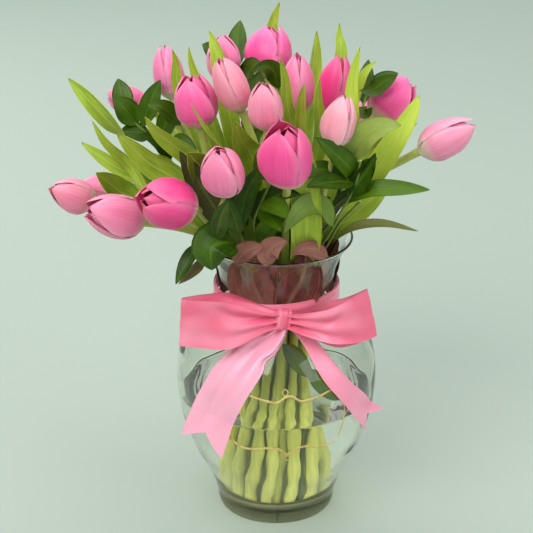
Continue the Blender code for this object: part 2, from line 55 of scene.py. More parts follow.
TULIPS = (
    ('01', (-25.0, -2.0), (-163, 16, 292), (-200, 6, 311), 32, (-10, -37, 11), 0.75, 0.36),
    ('02', (-19.0, 6.5), (-140, 40, 295), (-176, 42, 302), 23, (24, -11, 0), 0.36, 0.49),
    ('03', (-22.0, -11.5), (-115, -45, 298), (-161, -71, 320), 40, (24, 12, 0), 0.42, 0.36),
    ('04', (-14.0, -18.0), (-70, -74, 322), (-113, -100, 342), 45, (-50, -7, 2), 0.16, 0.48),
    ('05', (-4.5, -21.5), (-42, -84, 340), (-48, -104, 386), 38, (-49, -33, -7), 0.67, 0.42),
    ('06', (5.5, -21.0), (8, -83, 347), (6, -101, 404), 47, (-2, 30, 0), 0.28, 0.17),
    ('07', (-12.5, -8.5), (-65, -25, 378), (-73, -30, 426), 39, (-4, -2, 0), 0.41, 0.38),
    ('08', (-3.0, -7.0), (-30, -34, 395), (-48, -43, 443), 30, (0, 0, 0), 0.42, 0.36),
    ('09', (6.5, -11.0), (-8, -55, 386), (-12, -64, 429), 31, (-4, 10, 0), 0.49, 0.42),
    ('10', (16.5, -12.0), (47, -45, 367), (58, -43, 412), 31, (6, -24, 0), 0.42, 0.37),
    ('11', (25.5, -3.5), (126, 16, 341), (172, 14, 367), 36, (20, 17, 0), 0.69, 0.44),
    ('12', (20.0, 5.0), (89, 48, 360), (119, 56, 395), 43, (0, 0, 0), 0.42, 0.36),
    ('13', (-1.0, 7.0), (-9, 68, 394), (-5, 80, 437), 45, (0, -3, 0), 0.42, 0.36),
    ('14', (-10.0, 11.0), (-46, 53, 394), (-49, 58, 436), 32, (0, 0, 0), 0.42, 0.36),
    ('15', (-9.0, 1.0), (-92, 41, 381), (-100, 51, 427), 29, (13, -18, 0), 0.45, 0.30),
    ('16', (-18.5, 16.5), (-116, 54, 367), (-152, 62, 380), 29, (-6, 32, -2), 0.54, 0.25),
    ('17', (5.0, -1.0), (18, 4, 379), (18, -4, 435), 30, (0, 0, 0), 0.42, 0.36),
    ('18', (9.0, 8.5), (45, 10, 374), (55, 6, 432), 32, (0, 0, 0), 0.42, 0.36),
    ('19', (-10.0, 21.0), (-66, 94, 327), (-90, 114, 367), 36, (-9, -6, 0), 0.45, 0.32),
    ('20', (9.5, 18.5), (8, 102, 346), (10, 128, 390), 40, (15, -16, 6), 0.58, 0.26),
    ('21', (19.0, 15.0), (72, 90, 320), (98, 112, 358), 38, (-3, -18, 0), 0.42, 0.36),
    ('22', (0.0, 22.0), (-15, 132, 302), (-21, 169, 328), 38, (-28, -45, 46), 0.34, 0.44),
)
# owner, height on its stem, course to the tip, width, the way it faces (azimuth from the front, elevation)
LEAVES = (
    ('01', 258, ((-78, -8, 315), (-111, -6, 346), (-135, -22, 373), (-160, -25, 402), (-178, -12, 417)), 21, -61, 35),
    ('03', 284, ((-113, -22, 316), (-127, -8, 336), (-147, -15, 358), (-159, -13, 379)), 9, -24, 30),
    ('02', 292, ((-92, 24, 311), (-119, 12, 318), (-143, 11, 328), (-173, 20, 348)), 14, 15, 35),
    ('02', 262, ((-116, 2, 320), (-139, -1, 345), (-153, 11, 352)), 14, -60, 30),
    ('03', 258, ((-85, -21, 326), (-106, -26, 341), (-122, -31, 359), (-136, -36, 375)), 21, -23, 30),
    ('01', 272, ((-66, 2, 277), (-104, 3, 285), (-134, 8, 302), (-157, -20, 334)), 23, 20, 25),
    ('07', 256, ((-36, -19, 288), (-48, -26, 311), (-64, -34, 344), (-82, -43, 363), (-99, -52, 380), (-110, -62, 399)), 17, -29, 25),
    ('15', 240, ((-48, -38, 362), (-63, -69, 399), (-70, -92, 421)), 18, -45, 20),
    ('15', 300, ((-86, 15, 401), (-86, 16, 418), (-90, 13, 435)), 11, -2, 15),
    ('14', 262, ((-72, 19, 413), (-76, 18, 436)), 10, -10, 15),
    ('14', 300, ((-50, 34, 415), (-55, 39, 432), (-59, 44, 443)), 16, -10, 15),
    ('13', 300, ((2, 100, 388), (-5, 111, 416), (-3, 112, 434), (3, 112, 451)), 14, 0, 20),
    ('18', 290, ((56, 33, 422), (54, 45, 432), (55, 48, 449)), 13, 15, 10),
    ('10', 262, ((62, -26, 375), (62, -23, 401), (64, -19, 422), (70, -16, 446)), 13, 15, 15),
    ('12', 275, ((72, 24, 402), (87, 28, 420)), 12, 20, 20),
    ('09', 246, ((13, -26, 371), (8, -38, 397), (7, -50, 427), (2, -63, 450)), 11, 7, 15),
    ('06', 240, ((23, -28, 328), (21, -36, 365), (21, -55, 407), (22, -84, 434)), 13, -35, 15),
    ('17', 240, ((36, -8, 354), (34, -17, 399), (36, -26, 421)), 12, 20, 15),
    ('12', 270, ((60, 10, 274), (76, 3, 310), (90, 1, 334), (104, 2, 357), (117, 8, 378), (125, 19, 392)), 20, -1, 25),
    ('10', 226, ((25, -52, 281), (25, -60, 315), (24, -58, 345), (22, -50, 380)), 24, -4, 10),
    ('08', 240, ((-19, -26, 344), (-29, -43, 368), (-35, -60, 394)), 23, 0, 15),
    ('08', 246, ((-1, 2, 304), (-10, -13, 324), (-17, -54, 367)), 15, -10, 15),
    ('05', 262, ((-37, -36, 298), (-52, -47, 333), (-74, -83, 375)), 30, 6, 20),
    ('11', 264, ((59, -8, 283), (82, -10, 305), (99, -4, 321)), 18, 21, 25),
    ('19', 236, ((-48, 50, 298), (-92, 81, 336), (-119, 111, 366)), 24, -90, 70),
    ('20', 240, ((17, 62, 315), (32, 94, 382), (37, 105, 426)), 26, 125, 15),
    ('21', 242, ((58, 56, 292), (100, 84, 322), (132, 104, 338)), 24, 140, 75),
    ('22', 232, ((-17, 55, 279), (-38, 100, 295), (-60, 145, 296)), 20, -160, 80),
    ('21', 266, ((40, 74, 300), (58, 106, 328), (70, 124, 346)), 20, 110, 70),
    ('20', 232, ((14, 50, 277), (35, 92, 295), (56, 136, 284)), 24, 150, 80),
)
# name, place in the waist, course above the neck, leaves (share of that course, tip, width)
SPRIGS = (
    ('front', (-1.0, -14.5), ((-21, -50, 300), (-5, -67, 344)), (
        (0.00, (-40, -100, 275), 33),
        (0.35, (3, -96, 310), 17),
        (0.50, (8, -112, 328), 20),
        (1.00, (-11, -55, 361), 20),
    )),
    ('rim_left', (-7.0, -14.0), ((-42, -32, 284), (-57, -33, 284)), (
        (1.00, (-84, -59, 248), 18),
        (0.30, (-64, -45, 298), 16),
    )),
    ('right_low', (17.5, -2.5), ((54, -28, 290), (72, -34, 313)), (
        (0.20, (118, -45, 278), 16),
        (1.00, (125, -29, 330), 20),
        (0.55, (110, -26, 289), 18),
    )),
    ('right', (12.0, -5.0), ((54, -39, 302), (67, -45, 331), (71, -49, 356)), (
        (0.95, (104, -46, 387), 24),
        (0.35, (84, -56, 361), 22),
        (0.75, (33, -80, 373), 20),
        (0.60, (24, -87, 346), 18),
    )),
    ('upper_right', (13.0, 1.5), ((59, 4, 337), (72, 20, 369), (80, 30, 391)), (
        (0.62, (117, 24, 380), 17),
        (1.00, (107, 36, 407), 17),
        (0.80, (81, 44, 417), 15),
    )),
    ('left_upper', (-16.5, -1.5), ((-77, 26, 334), (-112, 20, 354), (-134, 22, 376)), (
        (0.55, (-138, 10, 361), 20),
        (0.75, (-144, 18, 390), 22),
        (1.00, (-140, 36, 402), 18),
        (0.70, (-102, 26, 404), 18),
        (0.45, (-84, 6, 388), 20),
    )),
    ('top', (-3.0, 15.0), ((-27, 42, 357), (-34, 62, 384), (-46, 76, 408)), (
        (0.50, (-15, 28, 420), 26),
        (1.00, (-67, 82, 420), 18),
        (0.75, (-33, 116, 433), 18),
    )),
    ('back', (3.0, 14.0), ((-3, 46, 276), (-12, 72, 306), (-20, 108, 314)), (
        (0.40, (36, 136, 282), 26),
        (0.60, (-52, 110, 306), 26),
        (0.75, (30, 138, 322), 24),
        (1.00, (-24, 144, 340), 24),
        (1.00, (20, 134, 310), 22),
    )),
)

# bow loops: reach from the knot, depth and height of the far end; how far a loop opens and bows forward
LOOP_LEFT = (84.5, -62.0, 211.0, 0.066)
LOOP_RIGHT = (71.6, -62.0, 220.5, -0.21)
LOOP_OPEN = 11.0
LOOP_BOW = 14.0
# tails: azimuth from the front, height, width, lift off the glass
TAIL_LEFT = ((3, 195, 13, 3.0), (-7, 192.5, 20, 2.6), (-15, 188, 30, 2.6), (-21, 178, 38, 2.6),
             (-27, 163, 42, 2.4), (-32, 146, 43, 2.2), (-37, 128, 44, 2.4), (-40, 111, 45, 4.5), (-42.4, 94, 45, 7.5))
TAIL_RIGHT = ((12, 203, 12, 3.0), (19, 196.5, 14, 2.6), (25.5, 188, 17, 2.6), (30, 175, 20, 2.6),
              (36.5, 158, 26, 2.4), (46, 140, 34, 2.0), (56, 123, 42, 2.2), (68, 103, 44, 3.0))

# leaves of the outer sprigs that hide the middle: name, course, width, face azimuth, elevation, shade, brownness
# shade there is partly painted light: dark_olive_a is darkened for the shadow it lies in, glossy_h lightened for the
# light it catches; a negative brownness is paleness, a painted sheen on glossy_h
EXTRA = (
    ("dark_olive_a", ((-35, -54, 292), (-51, -66, 317), (-68, -70, 348), (-81, -78, 375)), 23, -10, 25, -0.10, 0.35),
    ("dark_b", ((-32, -54, 294), (-28, -64, 327), (-18, -66, 348), (-9, -72, 361)), 18, 10, 15, -0.02, 0.00),
    ("dark_c", ((-22, -44, 301), (-8, -62, 324), (4, -70, 334), (20, -76, 335)), 20, 0, 35, -0.10, 0.00),
    ("mid_d", ((-18, -46, 279), (-8, -60, 297), (0, -66, 307), (8, -70, 313)), 18, 0, 30, 0.06, 0.00),
    ("pale_e", ((49, -44, 292), (39, -58, 317), (22, -68, 321), (6, -80, 303)), 19, 15, 40, 0.20, -0.45),
    ("dark_f", ((60, -40, 333), (43, -54, 349), (29, -62, 351), (12, -66, 341)), 15, 5, 40, 0.02, 0.00),
    ("curl_g", ((58, -40, 327), (63, -48, 345), (51, -56, 362), (32, -64, 382)), 20, 25, 25, -0.04, 0.00),
    ("glossy_h", ((61, -36, 349), (72, -50, 375), (87, -58, 388), (103, -66, 393)), 25, 20, 45, 0.30, -0.85),
    ("dark_i", ((61, -34, 311), (68, -44, 333), (76, -48, 348), (83, -52, 364)), 18, 20, 15, -0.10, 0.00),
    ("long_j", ((59, -40, 313), (78, -52, 330), (104, -54, 332), (130, -56, 332)), 16, 5, 50, 0.22, 0.00),
    ("edge_k", ((48, -38, 276), (66, -52, 296), (91, -56, 301), (121, -58, 295)), 9, 10, 60, 0.30, 0.55),
    ("round_o", ((-36, -72, 289), (-44, -84, 296), (-55, -92, 294), (-55, -94, 274)), 35, -15, 40, -0.04, 0.00),
    ("drop_p", ((-66, -44, 281), (-71, -60, 278), (-79, -68, 267), (-87, -74, 252)), 13, -30, 35, -0.05, 0.00),
    ("under_p", ((-64, -42, 274), (-65, -56, 265), (-74, -62, 257), (-85, -66, 249)), 10, -30, 10, 0.35, 0.95),
    ("cover_q", ((-52, -84, 297), (-49, -92, 313), (-45, -95, 327), (-39, -95, 339)), 16, -5, 20, -0.08, 0.10),
    ("cover_r", ((-32, -70, 295), (-35, -82, 313), (-39, -90, 329), (-42, -94, 341)), 14, 5, 20, -0.04, 0.00),
    ("gap_y", ((-24, 20, 381), (-20, 26, 393), (-17, 30, 402), (-15, 32, 410)), 19, 0, 20, -0.08, 0.00),
    ("leaf_s", ((-29, 10, 349), (-24, 4, 356), (-18, 0, 362), (-11, -4, 366)), 14, 0, 20, 0.10, 0.00),
    ("leaf_r", ((2, 24, 395), (-2, 20, 412), (-10, 16, 419), (-19, 10, 420)), 17, 0, 20, 0.02, 0.00),
    ("leaf_t", ((71, -2, 403), (82, -8, 405), (91, -12, 413), (102, -16, 421)), 14, 10, 35, 0.06, 0.00),
    ("leaf_u", ((70, -4, 389), (74, -14, 387), (77, -20, 389), (81, -24, 395)), 11, 10, 25, 0.00, 0.00),
    ("leaf_v", ((-92, -6, 340), (-98, -16, 358), (-107, -22, 367), (-118, -28, 372)), 15, -10, 35, -0.02, 0.00),
    ("leaf_w", ((-84, 6, 368), (-90, 0, 379), (-99, -6, 389), (-112, -8, 392)), 16, -10, 40, 0.05, 0.00),
    ("leaf_x", ((-91, -10, 356), (-84, -20, 363), (-76, -26, 361), (-68, -30, 356)), 14, -10, 35, 0.00, 0.00),
)
# leaves inside the vase over the water: course, width, face, shade, brownness
IN_VASE = (
    (((4, -34, 176), (14, -40, 168), (24, -43, 156), (33, -42, 146)), 17, (0.2, -0.9, 0.35), 0.45, 0.15),
    (((26, -34, 152), (38, -38, 140), (50, -38, 128), (60, -34, 120)), 17, (0.4, -0.85, 0.35), 0.40, 0.10),
    (((30, -36, 168), (36, -39, 162), (41, -40, 156)), 8, (0.3, -0.9, 0.3), 0.1, 0.9),
    (((-20, 36, 178), (-30, 42, 160), (-36, 44, 142)), 18, (-0.3, 0.9, 0.3), 0.3, 0.2),
    (((24, 30, 176), (34, 36, 160), (42, 38, 146)), 16, (0.4, 0.85, 0.3), 0.2, 0.1),
)
# sprig leaves that the outer leaves above replace
SKIP = {("front", 0), ("rim_left", 0), ("right_low", 0), ("right_low", 1), ("right_low", 2), ("right", 0), ("right", 2), ("upper_right", 0)}

PALE = ("01", "05", "08", "09", "10", "11")
OPEN = {"03": 0.12, "04": 0.32, "06": 0.30, "07": 0.2, "12": 0.25, "13": 0.2, "20": 0.3}
# petal colour of each bloom: body, and paler base
BLOOM_RGB = {
    "01": (0.88, 0.27, 0.39), "02": (0.83, 0.24, 0.40), "03": (0.87, 0.25, 0.42), "04": (0.78, 0.050, 0.25),
    "05": (0.88, 0.24, 0.42), "06": (0.80, 0.07, 0.29), "07": (0.82, 0.11, 0.34), "08": (0.88, 0.33, 0.42),
    "09": (0.89, 0.32, 0.44), "10": (0.90, 0.42, 0.48), "11": (0.88, 0.32, 0.46), "12": (0.82, 0.09, 0.33),
    "13": (0.84, 0.10, 0.34), "14": (0.84, 0.20, 0.40), "15": (0.85, 0.21, 0.42), "16": (0.80, 0.17, 0.36),
    "17": (0.86, 0.22, 0.42), "18": (0.79, 0.045, 0.25), "19": (0.84, 0.18, 0.38), "20": (0.86, 0.22, 0.42),
    "21": (0.82, 0.14, 0.36), "22": (0.88, 0.30, 0.44)}


# ------------------------------------------------------------------ geometry helpers
def unit(v):
    v = np.asarray(v, float)
    return v / (np.linalg.norm(v, axis=-1, keepdims=True) + 1e-12)


def turn(xy, a):
    return np.array([xy[0] * math.cos(a) - xy[1] * math.sin(a), xy[0] * math.sin(a) + xy[1] * math.cos(a)])


def catmull(points, n):
    p = np.asarray(points, float)
    q = np.vstack([2 * p[0] - p[1], p, 2 * p[-1] - p[-2]])
    out = []
    for i in range(1, len(q) - 2):
        for t in np.linspace(0, 1, n, endpoint=False):
            a, b, c, d = q[i - 1:i + 3]
            out.append(0.5 * (2 * b + (c - a) * t + (2 * a - 5 * b + 4 * c - d) * t * t
                              + (3 * b - 3 * c + d - a) * t ** 3))
    out.append(p[-1])
    return np.array(out)


def resample(points, n):
    p = np.asarray(points, float)
    s = np.r_[0, np.cumsum(np.linalg.norm(np.diff(p, axis=0), axis=1))]
    u = np.linspace(0, s[-1], n)
    return np.stack([np.interp(u, s, p[:, i]) for i in range(p.shape[1])], 1)


def length_of(p):
    return float(np.linalg.norm(np.diff(p, axis=0), axis=1).sum())


def smooth_line(p, rounds=3):
    p = np.array(p, float)
    for _ in range(rounds):
        p[1:-1] = 0.25 * p[:-2] + 0.5 * p[1:-1] + 0.25 * p[2:]
    return p


class Build:
    """gathers several parts of one piece: points in mm, faces, and a per-point vector for the material"""

    def __init__(self):
        self.v, self.f, self.a, self.c = [], [], [], []

    def add(self, verts, faces, attr, col=(0, 0, 0)):
        n = len(self.v)
        self.v.extend(np.asarray(verts, float).tolist())
        self.f.extend([tuple(i + n for i in f) for f in faces])
        self.a.extend(np.asarray(attr, float).tolist())
        col = np.asarray(col, float)
        if col.ndim == 1:
            col = np.repeat(col[None], len(verts), axis=0)
        self.c.extend(col.tolist())

    def make(self, name, mat, slot, *nodes):
        me = bpy.data.meshes.new(name)
        me.from_pydata((np.array(self.v) * MM).tolist(), [], self.f)
        at = me.attributes.new("lay", "FLOAT_VECTOR", "POINT")
        at.data.foreach_set("vector", np.array(self.a, np.float32).ravel())
        at = me.attributes.new("tone", "FLOAT_VECTOR", "POINT")
        at.data.foreach_set("vector", np.array(self.c, np.float32).ravel())
        me.validate()
        me.shade_smooth()
        ob = bpy.data.objects.new(name, me)
        bpy.context.scene.collection.objects.link(ob)
        me.materials.append(mat)
        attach(ob, "root")
        if nodes:
            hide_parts(*nodes)
        return ob


def thick_sheet(b, grid, thick, attr, col=(0, 0, 0)):
    """closed lamina from a grid of mid points (nu, nv, 3), thick mm, thinner at its rim"""
    nu, nv = grid.shape[:2]
    du = np.gradient(grid, axis=0)
    dv = np.gradient(grid, axis=1)
    n = unit(np.cross(du, dv))
    edge = np.ones((nu, nv))
    edge[0, :] = edge[-1, :] = edge[:, 0] = edge[:, -1] = 0.35
    off = n * (thick / 2 * edge)[..., None]
    top, bot = (grid + off).reshape(-1, 3), (grid - off).reshape(-1, 3)
    idx = np.arange(nu * nv).reshape(nu, nv)
    q = np.stack([idx[:-1, :-1], idx[1:, :-1], idx[1:, 1:], idx[:-1, 1:]], -1).reshape(-1, 4)
    m = nu * nv
    faces = [tuple(r) for r in q[:, ::-1].tolist()] + [tuple(r) for r in (q + m).tolist()]
    rim = list(idx[0, :]) + list(idx[1:, -1]) + list(idx[-1, -2::-1]) + list(idx[-2:0:-1, 0])
    for i in range(len(rim)):
        a, c = int(rim[i]), int(rim[(i + 1) % len(rim)])
        faces.append((a, c, c + m, a + m))
    attr = np.asarray(attr, float).reshape(-1, 3)
    at = np.vstack([attr, attr])
    col = np.asarray(col, float)
    if col.ndim == 3:
        col = np.vstack([col.reshape(-1, 3)] * 2)
    b.add(np.vstack([top, bot]), faces, at, col)


def bar(b, path, radii, sides, col=(0, 0, 0), cut=True, wobble=0.0):
    """round stem along a path; attr x runs along it, y round it, z is 1 on the cut end"""
    path = np.asarray(path, float)
    t = unit(np.gradient(path, axis=0))
    side = unit(np.cross(t[0], (0.0, 1.0, 0.0)))
    s = np.r_[0, np.cumsum(np.linalg.norm(np.diff(path, axis=0), axis=1))]
    verts, attr, faces = [], [], []
    ang = np.linspace(0, 2 * math.pi, sides, endpoint=False)
    ph = RNG.uniform(0, 6.28, 3)
    for i, (p, d, r) in enumerate(zip(path, t, radii)):
        side = unit(side - d * np.dot(side, d))
        up = np.cross(d, side)
        w = 1 + wobble * (np.sin(2 * ang + ph[0] + s[i] * 0.05) + 0.6 * np.sin(3 * ang + ph[1] - s[i] * 0.03))
        verts.extend(p + (r * w)[:, None] * (side * np.cos(ang)[:, None] + up * np.sin(ang)[:, None]))
        attr.extend([(s[i], j / sides, 0.0) for j in range(sides)])
        if i:
            a, c = (i - 1) * sides, i * sides
            faces.extend([(a + j, a + (j + 1) % sides, c + (j + 1) % sides, c + j) for j in range(sides)])
    n = len(path)
    # cut end: a short inset ring and a centre
    for k, (i, sgn) in enumerate(((0, -1.0), (n - 1, 1.0))):
        base = len(verts)
        ring = list(range(i * sides, (i + 1) * sides))
        c = path[i] + t[i] * sgn * 0.15
        inner = [c + (np.array(verts[j]) - path[i]) * 0.86 for j in ring]
        verts.extend(inner)
        attr.extend([(s[i], j / sides, 1.0) for j in range(sides)])
        verts.append(c - t[i] * sgn * 0.25)
        attr.append((s[i], 0.0, 1.0))
        for j in range(sides):
            q = (ring[j], ring[(j + 1) % sides], base + (j + 1) % sides, base + j)
            tri = (base + j, base + (j + 1) % sides, base + sides)
            if k == 0:
                q, tri = q[::-1], tri[::-1]
            faces.append(q)
            faces.append(tri)
    b.add(verts, faces, attr, col)


def facing(az, el):
    a, e = math.radians(az), math.radians(el)
    return np.array([math.sin(a) * math.cos(e), -math.cos(a) * math.cos(e), math.sin(e)])


# ------------------------------------------------------------------ materials
def material(name):
    m = bpy.data.materials.new(name)
    m.use_nodes = True
    nt = m.node_tree
    return m, nt, nt.nodes["Principled BSDF"]


def node(nt, kind, **props):
    n = nt.nodes.new(kind)
    for k, v in props.items():
        if k.startswith("in_"):
            key = k[3:]
            n.inputs[int(key) if key.isdigit() else key.replace("_", " ")].default_value = v
        else:
            setattr(n, k, v)
    return n


def attribute(nt, name):
    return node(nt, "ShaderNodeAttribute", attribute_name=name, attribute_type="GEOMETRY")


def ramp(nt, fac, stops):
    r = node(nt, "ShaderNodeValToRGB")
    e = r.color_ramp.elements
    while len(e) > 1:
        e.remove(e[-1])
    for i, (p, c) in enumerate(stops):
        el = e[0] if i == 0 else e.new(p)
        el.position = p
        el.color = (*c, 1.0) if len(c) == 3 else c
    nt.links.new(fac, r.inputs[0])
    return r.outputs[0]


def math_node(nt, op, a, b=None):
    n = node(nt, "ShaderNodeMath", operation=op)
    for i, x in enumerate((a, b)):
        if x is None:
            continue
        if isinstance(x, (int, float)):
            n.inputs[i].default_value = x
        else:
            nt.links.new(x, n.inputs[i])
    return n.outputs[0]


def mix(nt, fac, a, b, blend="MIX"):
    n = node(nt, "ShaderNodeMix", data_type="RGBA", blend_type=blend)
    for key, x in ((0, fac), (6, a), (7, b)):
        if isinstance(x, (int, float)):
            n.inputs[key].default_value = x
        elif isinstance(x, tuple):
            n.inputs[key].default_value = (*x, 1.0)
        else:
            nt.links.new(x, n.inputs[key])
    return n.outputs[2]


def bump(nt, height, strength, distance, normal=None):
    n = node(nt, "ShaderNodeBump")
    n.inputs["Strength"].default_value = strength
    n.inputs["Distance"].default_value = distance
    nt.links.new(height, n.inputs["Height"])
    if normal is not None:
        nt.links.new(normal, n.inputs["Normal"])
    return n.outputs[0]


def noise(nt, vec, scale, detail=3.0, rough=0.55):
    n = node(nt, "ShaderNodeTexNoise")
    n.inputs["Scale"].default_value = scale
    n.inputs["Detail"].default_value = detail
    n.inputs["Roughness"].default_value = rough
    nt.links.new(vec, n.inputs["Vector"])
    return n.outputs[0]


def stretch(nt, vec, scale):
    n = node(nt, "ShaderNodeMapping")
    n.inputs["Scale"].default_value = scale
    nt.links.new(vec, n.inputs["Vector"])
    return n.outputs[0]


def petal_material():
    """lay: x from base to tip, y across (-1..1), z a number for each petal; tone: the bloom's colour"""
    m, nt, p = material("petal_silk")
    lay, tone = attribute(nt, "lay"), attribute(nt, "tone")
    sep = node(nt, "ShaderNodeSeparateXYZ")
    nt.links.new(lay.outputs["Vector"], sep.inputs[0])
    veins = noise(nt, stretch(nt, lay.outputs["Vector"], (2.2, 17.0, 7.0)), 1.0, 4.0)
    fine = noise(nt, stretch(nt, lay.outputs["Vector"], (5.0, 60.0, 11.0)), 1.0, 2.0)
    body = tone.outputs["Color"]
    deep = mix(nt, 1.0, body, (0.93, 0.66, 0.80), "MULTIPLY")
    light = mix(nt, 0.34, body, (1.0, 0.70, 0.76))
    across = math_node(nt, "ABSOLUTE", sep.outputs[1])
    edge = ramp(nt, across, [(0.0, (0, 0, 0)), (0.62, (0.08,) * 3), (0.95, (0.55,) * 3), (1.0, (0.6,) * 3)])
    streak = ramp(nt, veins, [(0.32, (0, 0, 0)), (0.68, (1, 1, 1))])
    c = mix(nt, streak, deep, body)
    c = mix(nt, math_node(nt, "MULTIPLY", edge, 0.75), c, light)
    mid = ramp(nt, across, [(0.0, (1, 1, 1)), (0.13, (0.25,) * 3), (0.30, (0, 0, 0))])
    c = mix(nt, math_node(nt, "MULTIPLY", mid, 0.45), c, deep)
    base = ramp(nt, math_node(nt, "ADD", sep.outputs[0], math_node(nt, "MULTIPLY", veins, 0.14)),
                [(0.06, (1, 1, 1)), (0.20, (0.55,) * 3), (0.36, (0.0,) * 3)])
    c = mix(nt, base, c, (0.90, 0.80, 0.58))
    tip = ramp(nt, sep.outputs[0], [(0.72, (0, 0, 0)), (1.0, (0.35,) * 3)])
    c = mix(nt, tip, c, light)
    nt.links.new(c, p.inputs["Base Color"])
    r = ramp(nt, fine, [(0.3, (0.36,) * 3), (0.7, (0.52,) * 3)])
    nt.links.new(r, p.inputs["Roughness"])
    p.inputs["Subsurface Weight"].default_value = 0.28
    p.inputs["Subsurface Radius"].default_value = (1.0, 0.35, 0.45)
    p.inputs["Subsurface Scale"].default_value = 0.0035
    p.inputs["Sheen Weight"].default_value = 0.10
    p.inputs["Sheen Roughness"].default_value = 0.4
    p.inputs["Sheen Tint"].default_value = (1.0, 0.75, 0.82, 1)
    p.inputs["Specular IOR Level"].default_value = 0.45
    n = bump(nt, veins, 0.20, 0.0008)
    n = bump(nt, fine, 0.22, 0.0003, n)
    nt.links.new(n, p.inputs["Normal"])
    return m


def leaf_material(name, dark, light, mid_rgb, rough, gloss=False, coat=0.0, spec=0.4):
    """parallel-veined leaf; lay: x along, y across, z a number for each leaf; tone x: shade, partly the leaf's own tone
    and partly painted shade and highlight, y: brownness, z: paleness, a painted sheen
    """
    m, nt, p = material(name)
    lay, tone = attribute(nt, "lay"), attribute(nt, "tone")
    sep = node(nt, "ShaderNodeSeparateXYZ")
    nt.links.new(lay.outputs["Vector"], sep.inputs[0])
    ts = node(nt, "ShaderNodeSeparateXYZ")
    nt.links.new(tone.outputs["Vector"], ts.inputs[0])
    veins = noise(nt, stretch(nt, lay.outputs["Vector"], (1.6, 26.0, 9.0)), 1.0, 3.0)
    blot = noise(nt, stretch(nt, lay.outputs["Vector"], (3.0, 1.4, 5.0)), 1.0, 3.0)
    geo = node(nt, "ShaderNodeTexCoord")
    fine = noise(nt, geo.outputs["Object"], 900.0, 2.0)
    v = math_node(nt, "ADD", math_node(nt, "MULTIPLY", veins, 0.55), math_node(nt, "MULTIPLY", blot, 0.45))
    v = math_node(nt, "ADD", v, ts.outputs[0])
    c = ramp(nt, v, [(0.30, dark), (0.72, light)])
    across = math_node(nt, "ABSOLUTE", sep.outputs[1])
    rib = ramp(nt, across, [(0.0, (1, 1, 1)), (0.05, (0.8,) * 3), (0.12, (0, 0, 0))])
    c = mix(nt, math_node(nt, "MULTIPLY", rib, 0.55), c, mid_rgb)
    brown = mix(nt, 0.6, c, (0.23, 0.10, 0.075))
    c = mix(nt, ts.outputs[1], c, brown)
    # tone z mixes in a pale grey-green: a painted sheen of light on the leaf
    c = mix(nt, ts.outputs[2], c, mix(nt, blot, (0.20, 0.29, 0.045), (0.36, 0.46, 0.11)))
    edge = ramp(nt, across, [(0.90, (0, 0, 0)), (1.0, (0.5,) * 3)])
    c = mix(nt, edge, c, tuple(min(1.0, x * 1.5) for x in light))
    nt.links.new(c, p.inputs["Base Color"])
    rr = ramp(nt, math_node(nt, "ADD", math_node(nt, "MULTIPLY", fine, 0.5), math_node(nt, "MULTIPLY", blot, 0.5)),
              [(0.3, (rough - 0.06,) * 3), (0.7, (rough + 0.10,) * 3)])
    nt.links.new(rr, p.inputs["Roughness"])
    p.inputs["Subsurface Weight"].default_value = 0.10
    p.inputs["Subsurface Radius"].default_value = (0.6, 1.0, 0.25)
    p.inputs["Subsurface Scale"].default_value = 0.002
    p.inputs["Specular IOR Level"].default_value = spec
    p.inputs["Coat Weight"].default_value = coat
    p.inputs["Coat Roughness"].default_value = 0.16
    ribs = ramp(nt, across, [(0.0, (0.0,) * 3), (0.09, (1.0,) * 3), (1.0, (1.0,) * 3)])
    n = bump(nt, ribs, 0.5, 0.0007)
    n = bump(nt, veins, 0.45 if gloss else 0.35, 0.0007, n)
    n = bump(nt, fine, 0.05, 0.0004, n)
    nt.links.new(n, p.inputs["Normal"])
    return m


def stem_material():
    m, nt, p = material("stem_green")
    lay, tone = attribute(nt, "lay"), attribute(nt, "tone")
    sep = node(nt, "ShaderNodeSeparateXYZ")
    nt.links.new(lay.outputs["Vector"], sep.inputs[0])
    ts = node(nt, "ShaderNodeSeparateXYZ")
    nt.links.new(tone.outputs["Vector"], ts.inputs[0])
    geo = node(nt, "ShaderNodeTexCoord")
    streak = noise(nt, stretch(nt, geo.outputs["Object"], (420.0, 420.0, 22.0)), 1.0, 3.0)
    blot = noise(nt, geo.outputs["Object"], 60.0, 3.0)
    along = math_node(nt, "ADD", math_node(nt, "MULTIPLY", sep.outputs[0], 0.0031),
                      math_node(nt, "MULTIPLY", blot, 0.16))
    along = math_node(nt, "ADD", along, ts.outputs[0])
    c = ramp(nt, along, [(0.02, (0.88, 0.87, 0.27)), (0.30, (0.80, 0.80, 0.15)), (0.55, (0.46, 0.54, 0.06)),
                         (0.75, (0.30, 0.42, 0.05)), (1.0, (0.46, 0.50, 0.12))])
    c = mix(nt, ts.outputs[1], c, (0.055, 0.120, 0.012))
    c = mix(nt, math_node(nt, "MULTIPLY", ramp(nt, streak, [(0.35, (1, 1, 1)), (0.65, (0, 0, 0))]), 0.30), c,
            (0.24, 0.33, 0.03))
    cut = mix(nt, noise(nt, geo.outputs["Object"], 700.0, 2.0), (0.70, 0.74, 0.50), (0.45, 0.50, 0.25))
    c = mix(nt, sep.outputs[2], c, cut)
    nt.links.new(c, p.inputs["Base Color"])
    nt.links.new(ramp(nt, streak, [(0.3, (0.30,) * 3), (0.7, (0.45,) * 3)]), p.inputs["Roughness"])
    p.inputs["Subsurface Weight"].default_value = 0.22
    p.inputs["Subsurface Radius"].default_value = (0.8, 1.0, 0.3)
    p.inputs["Subsurface Scale"].default_value = 0.003
    nt.links.new(bump(nt, streak, 0.25, 0.0006, bump(nt, blot, 0.2, 0.0015)), p.inputs["Normal"])
    return m


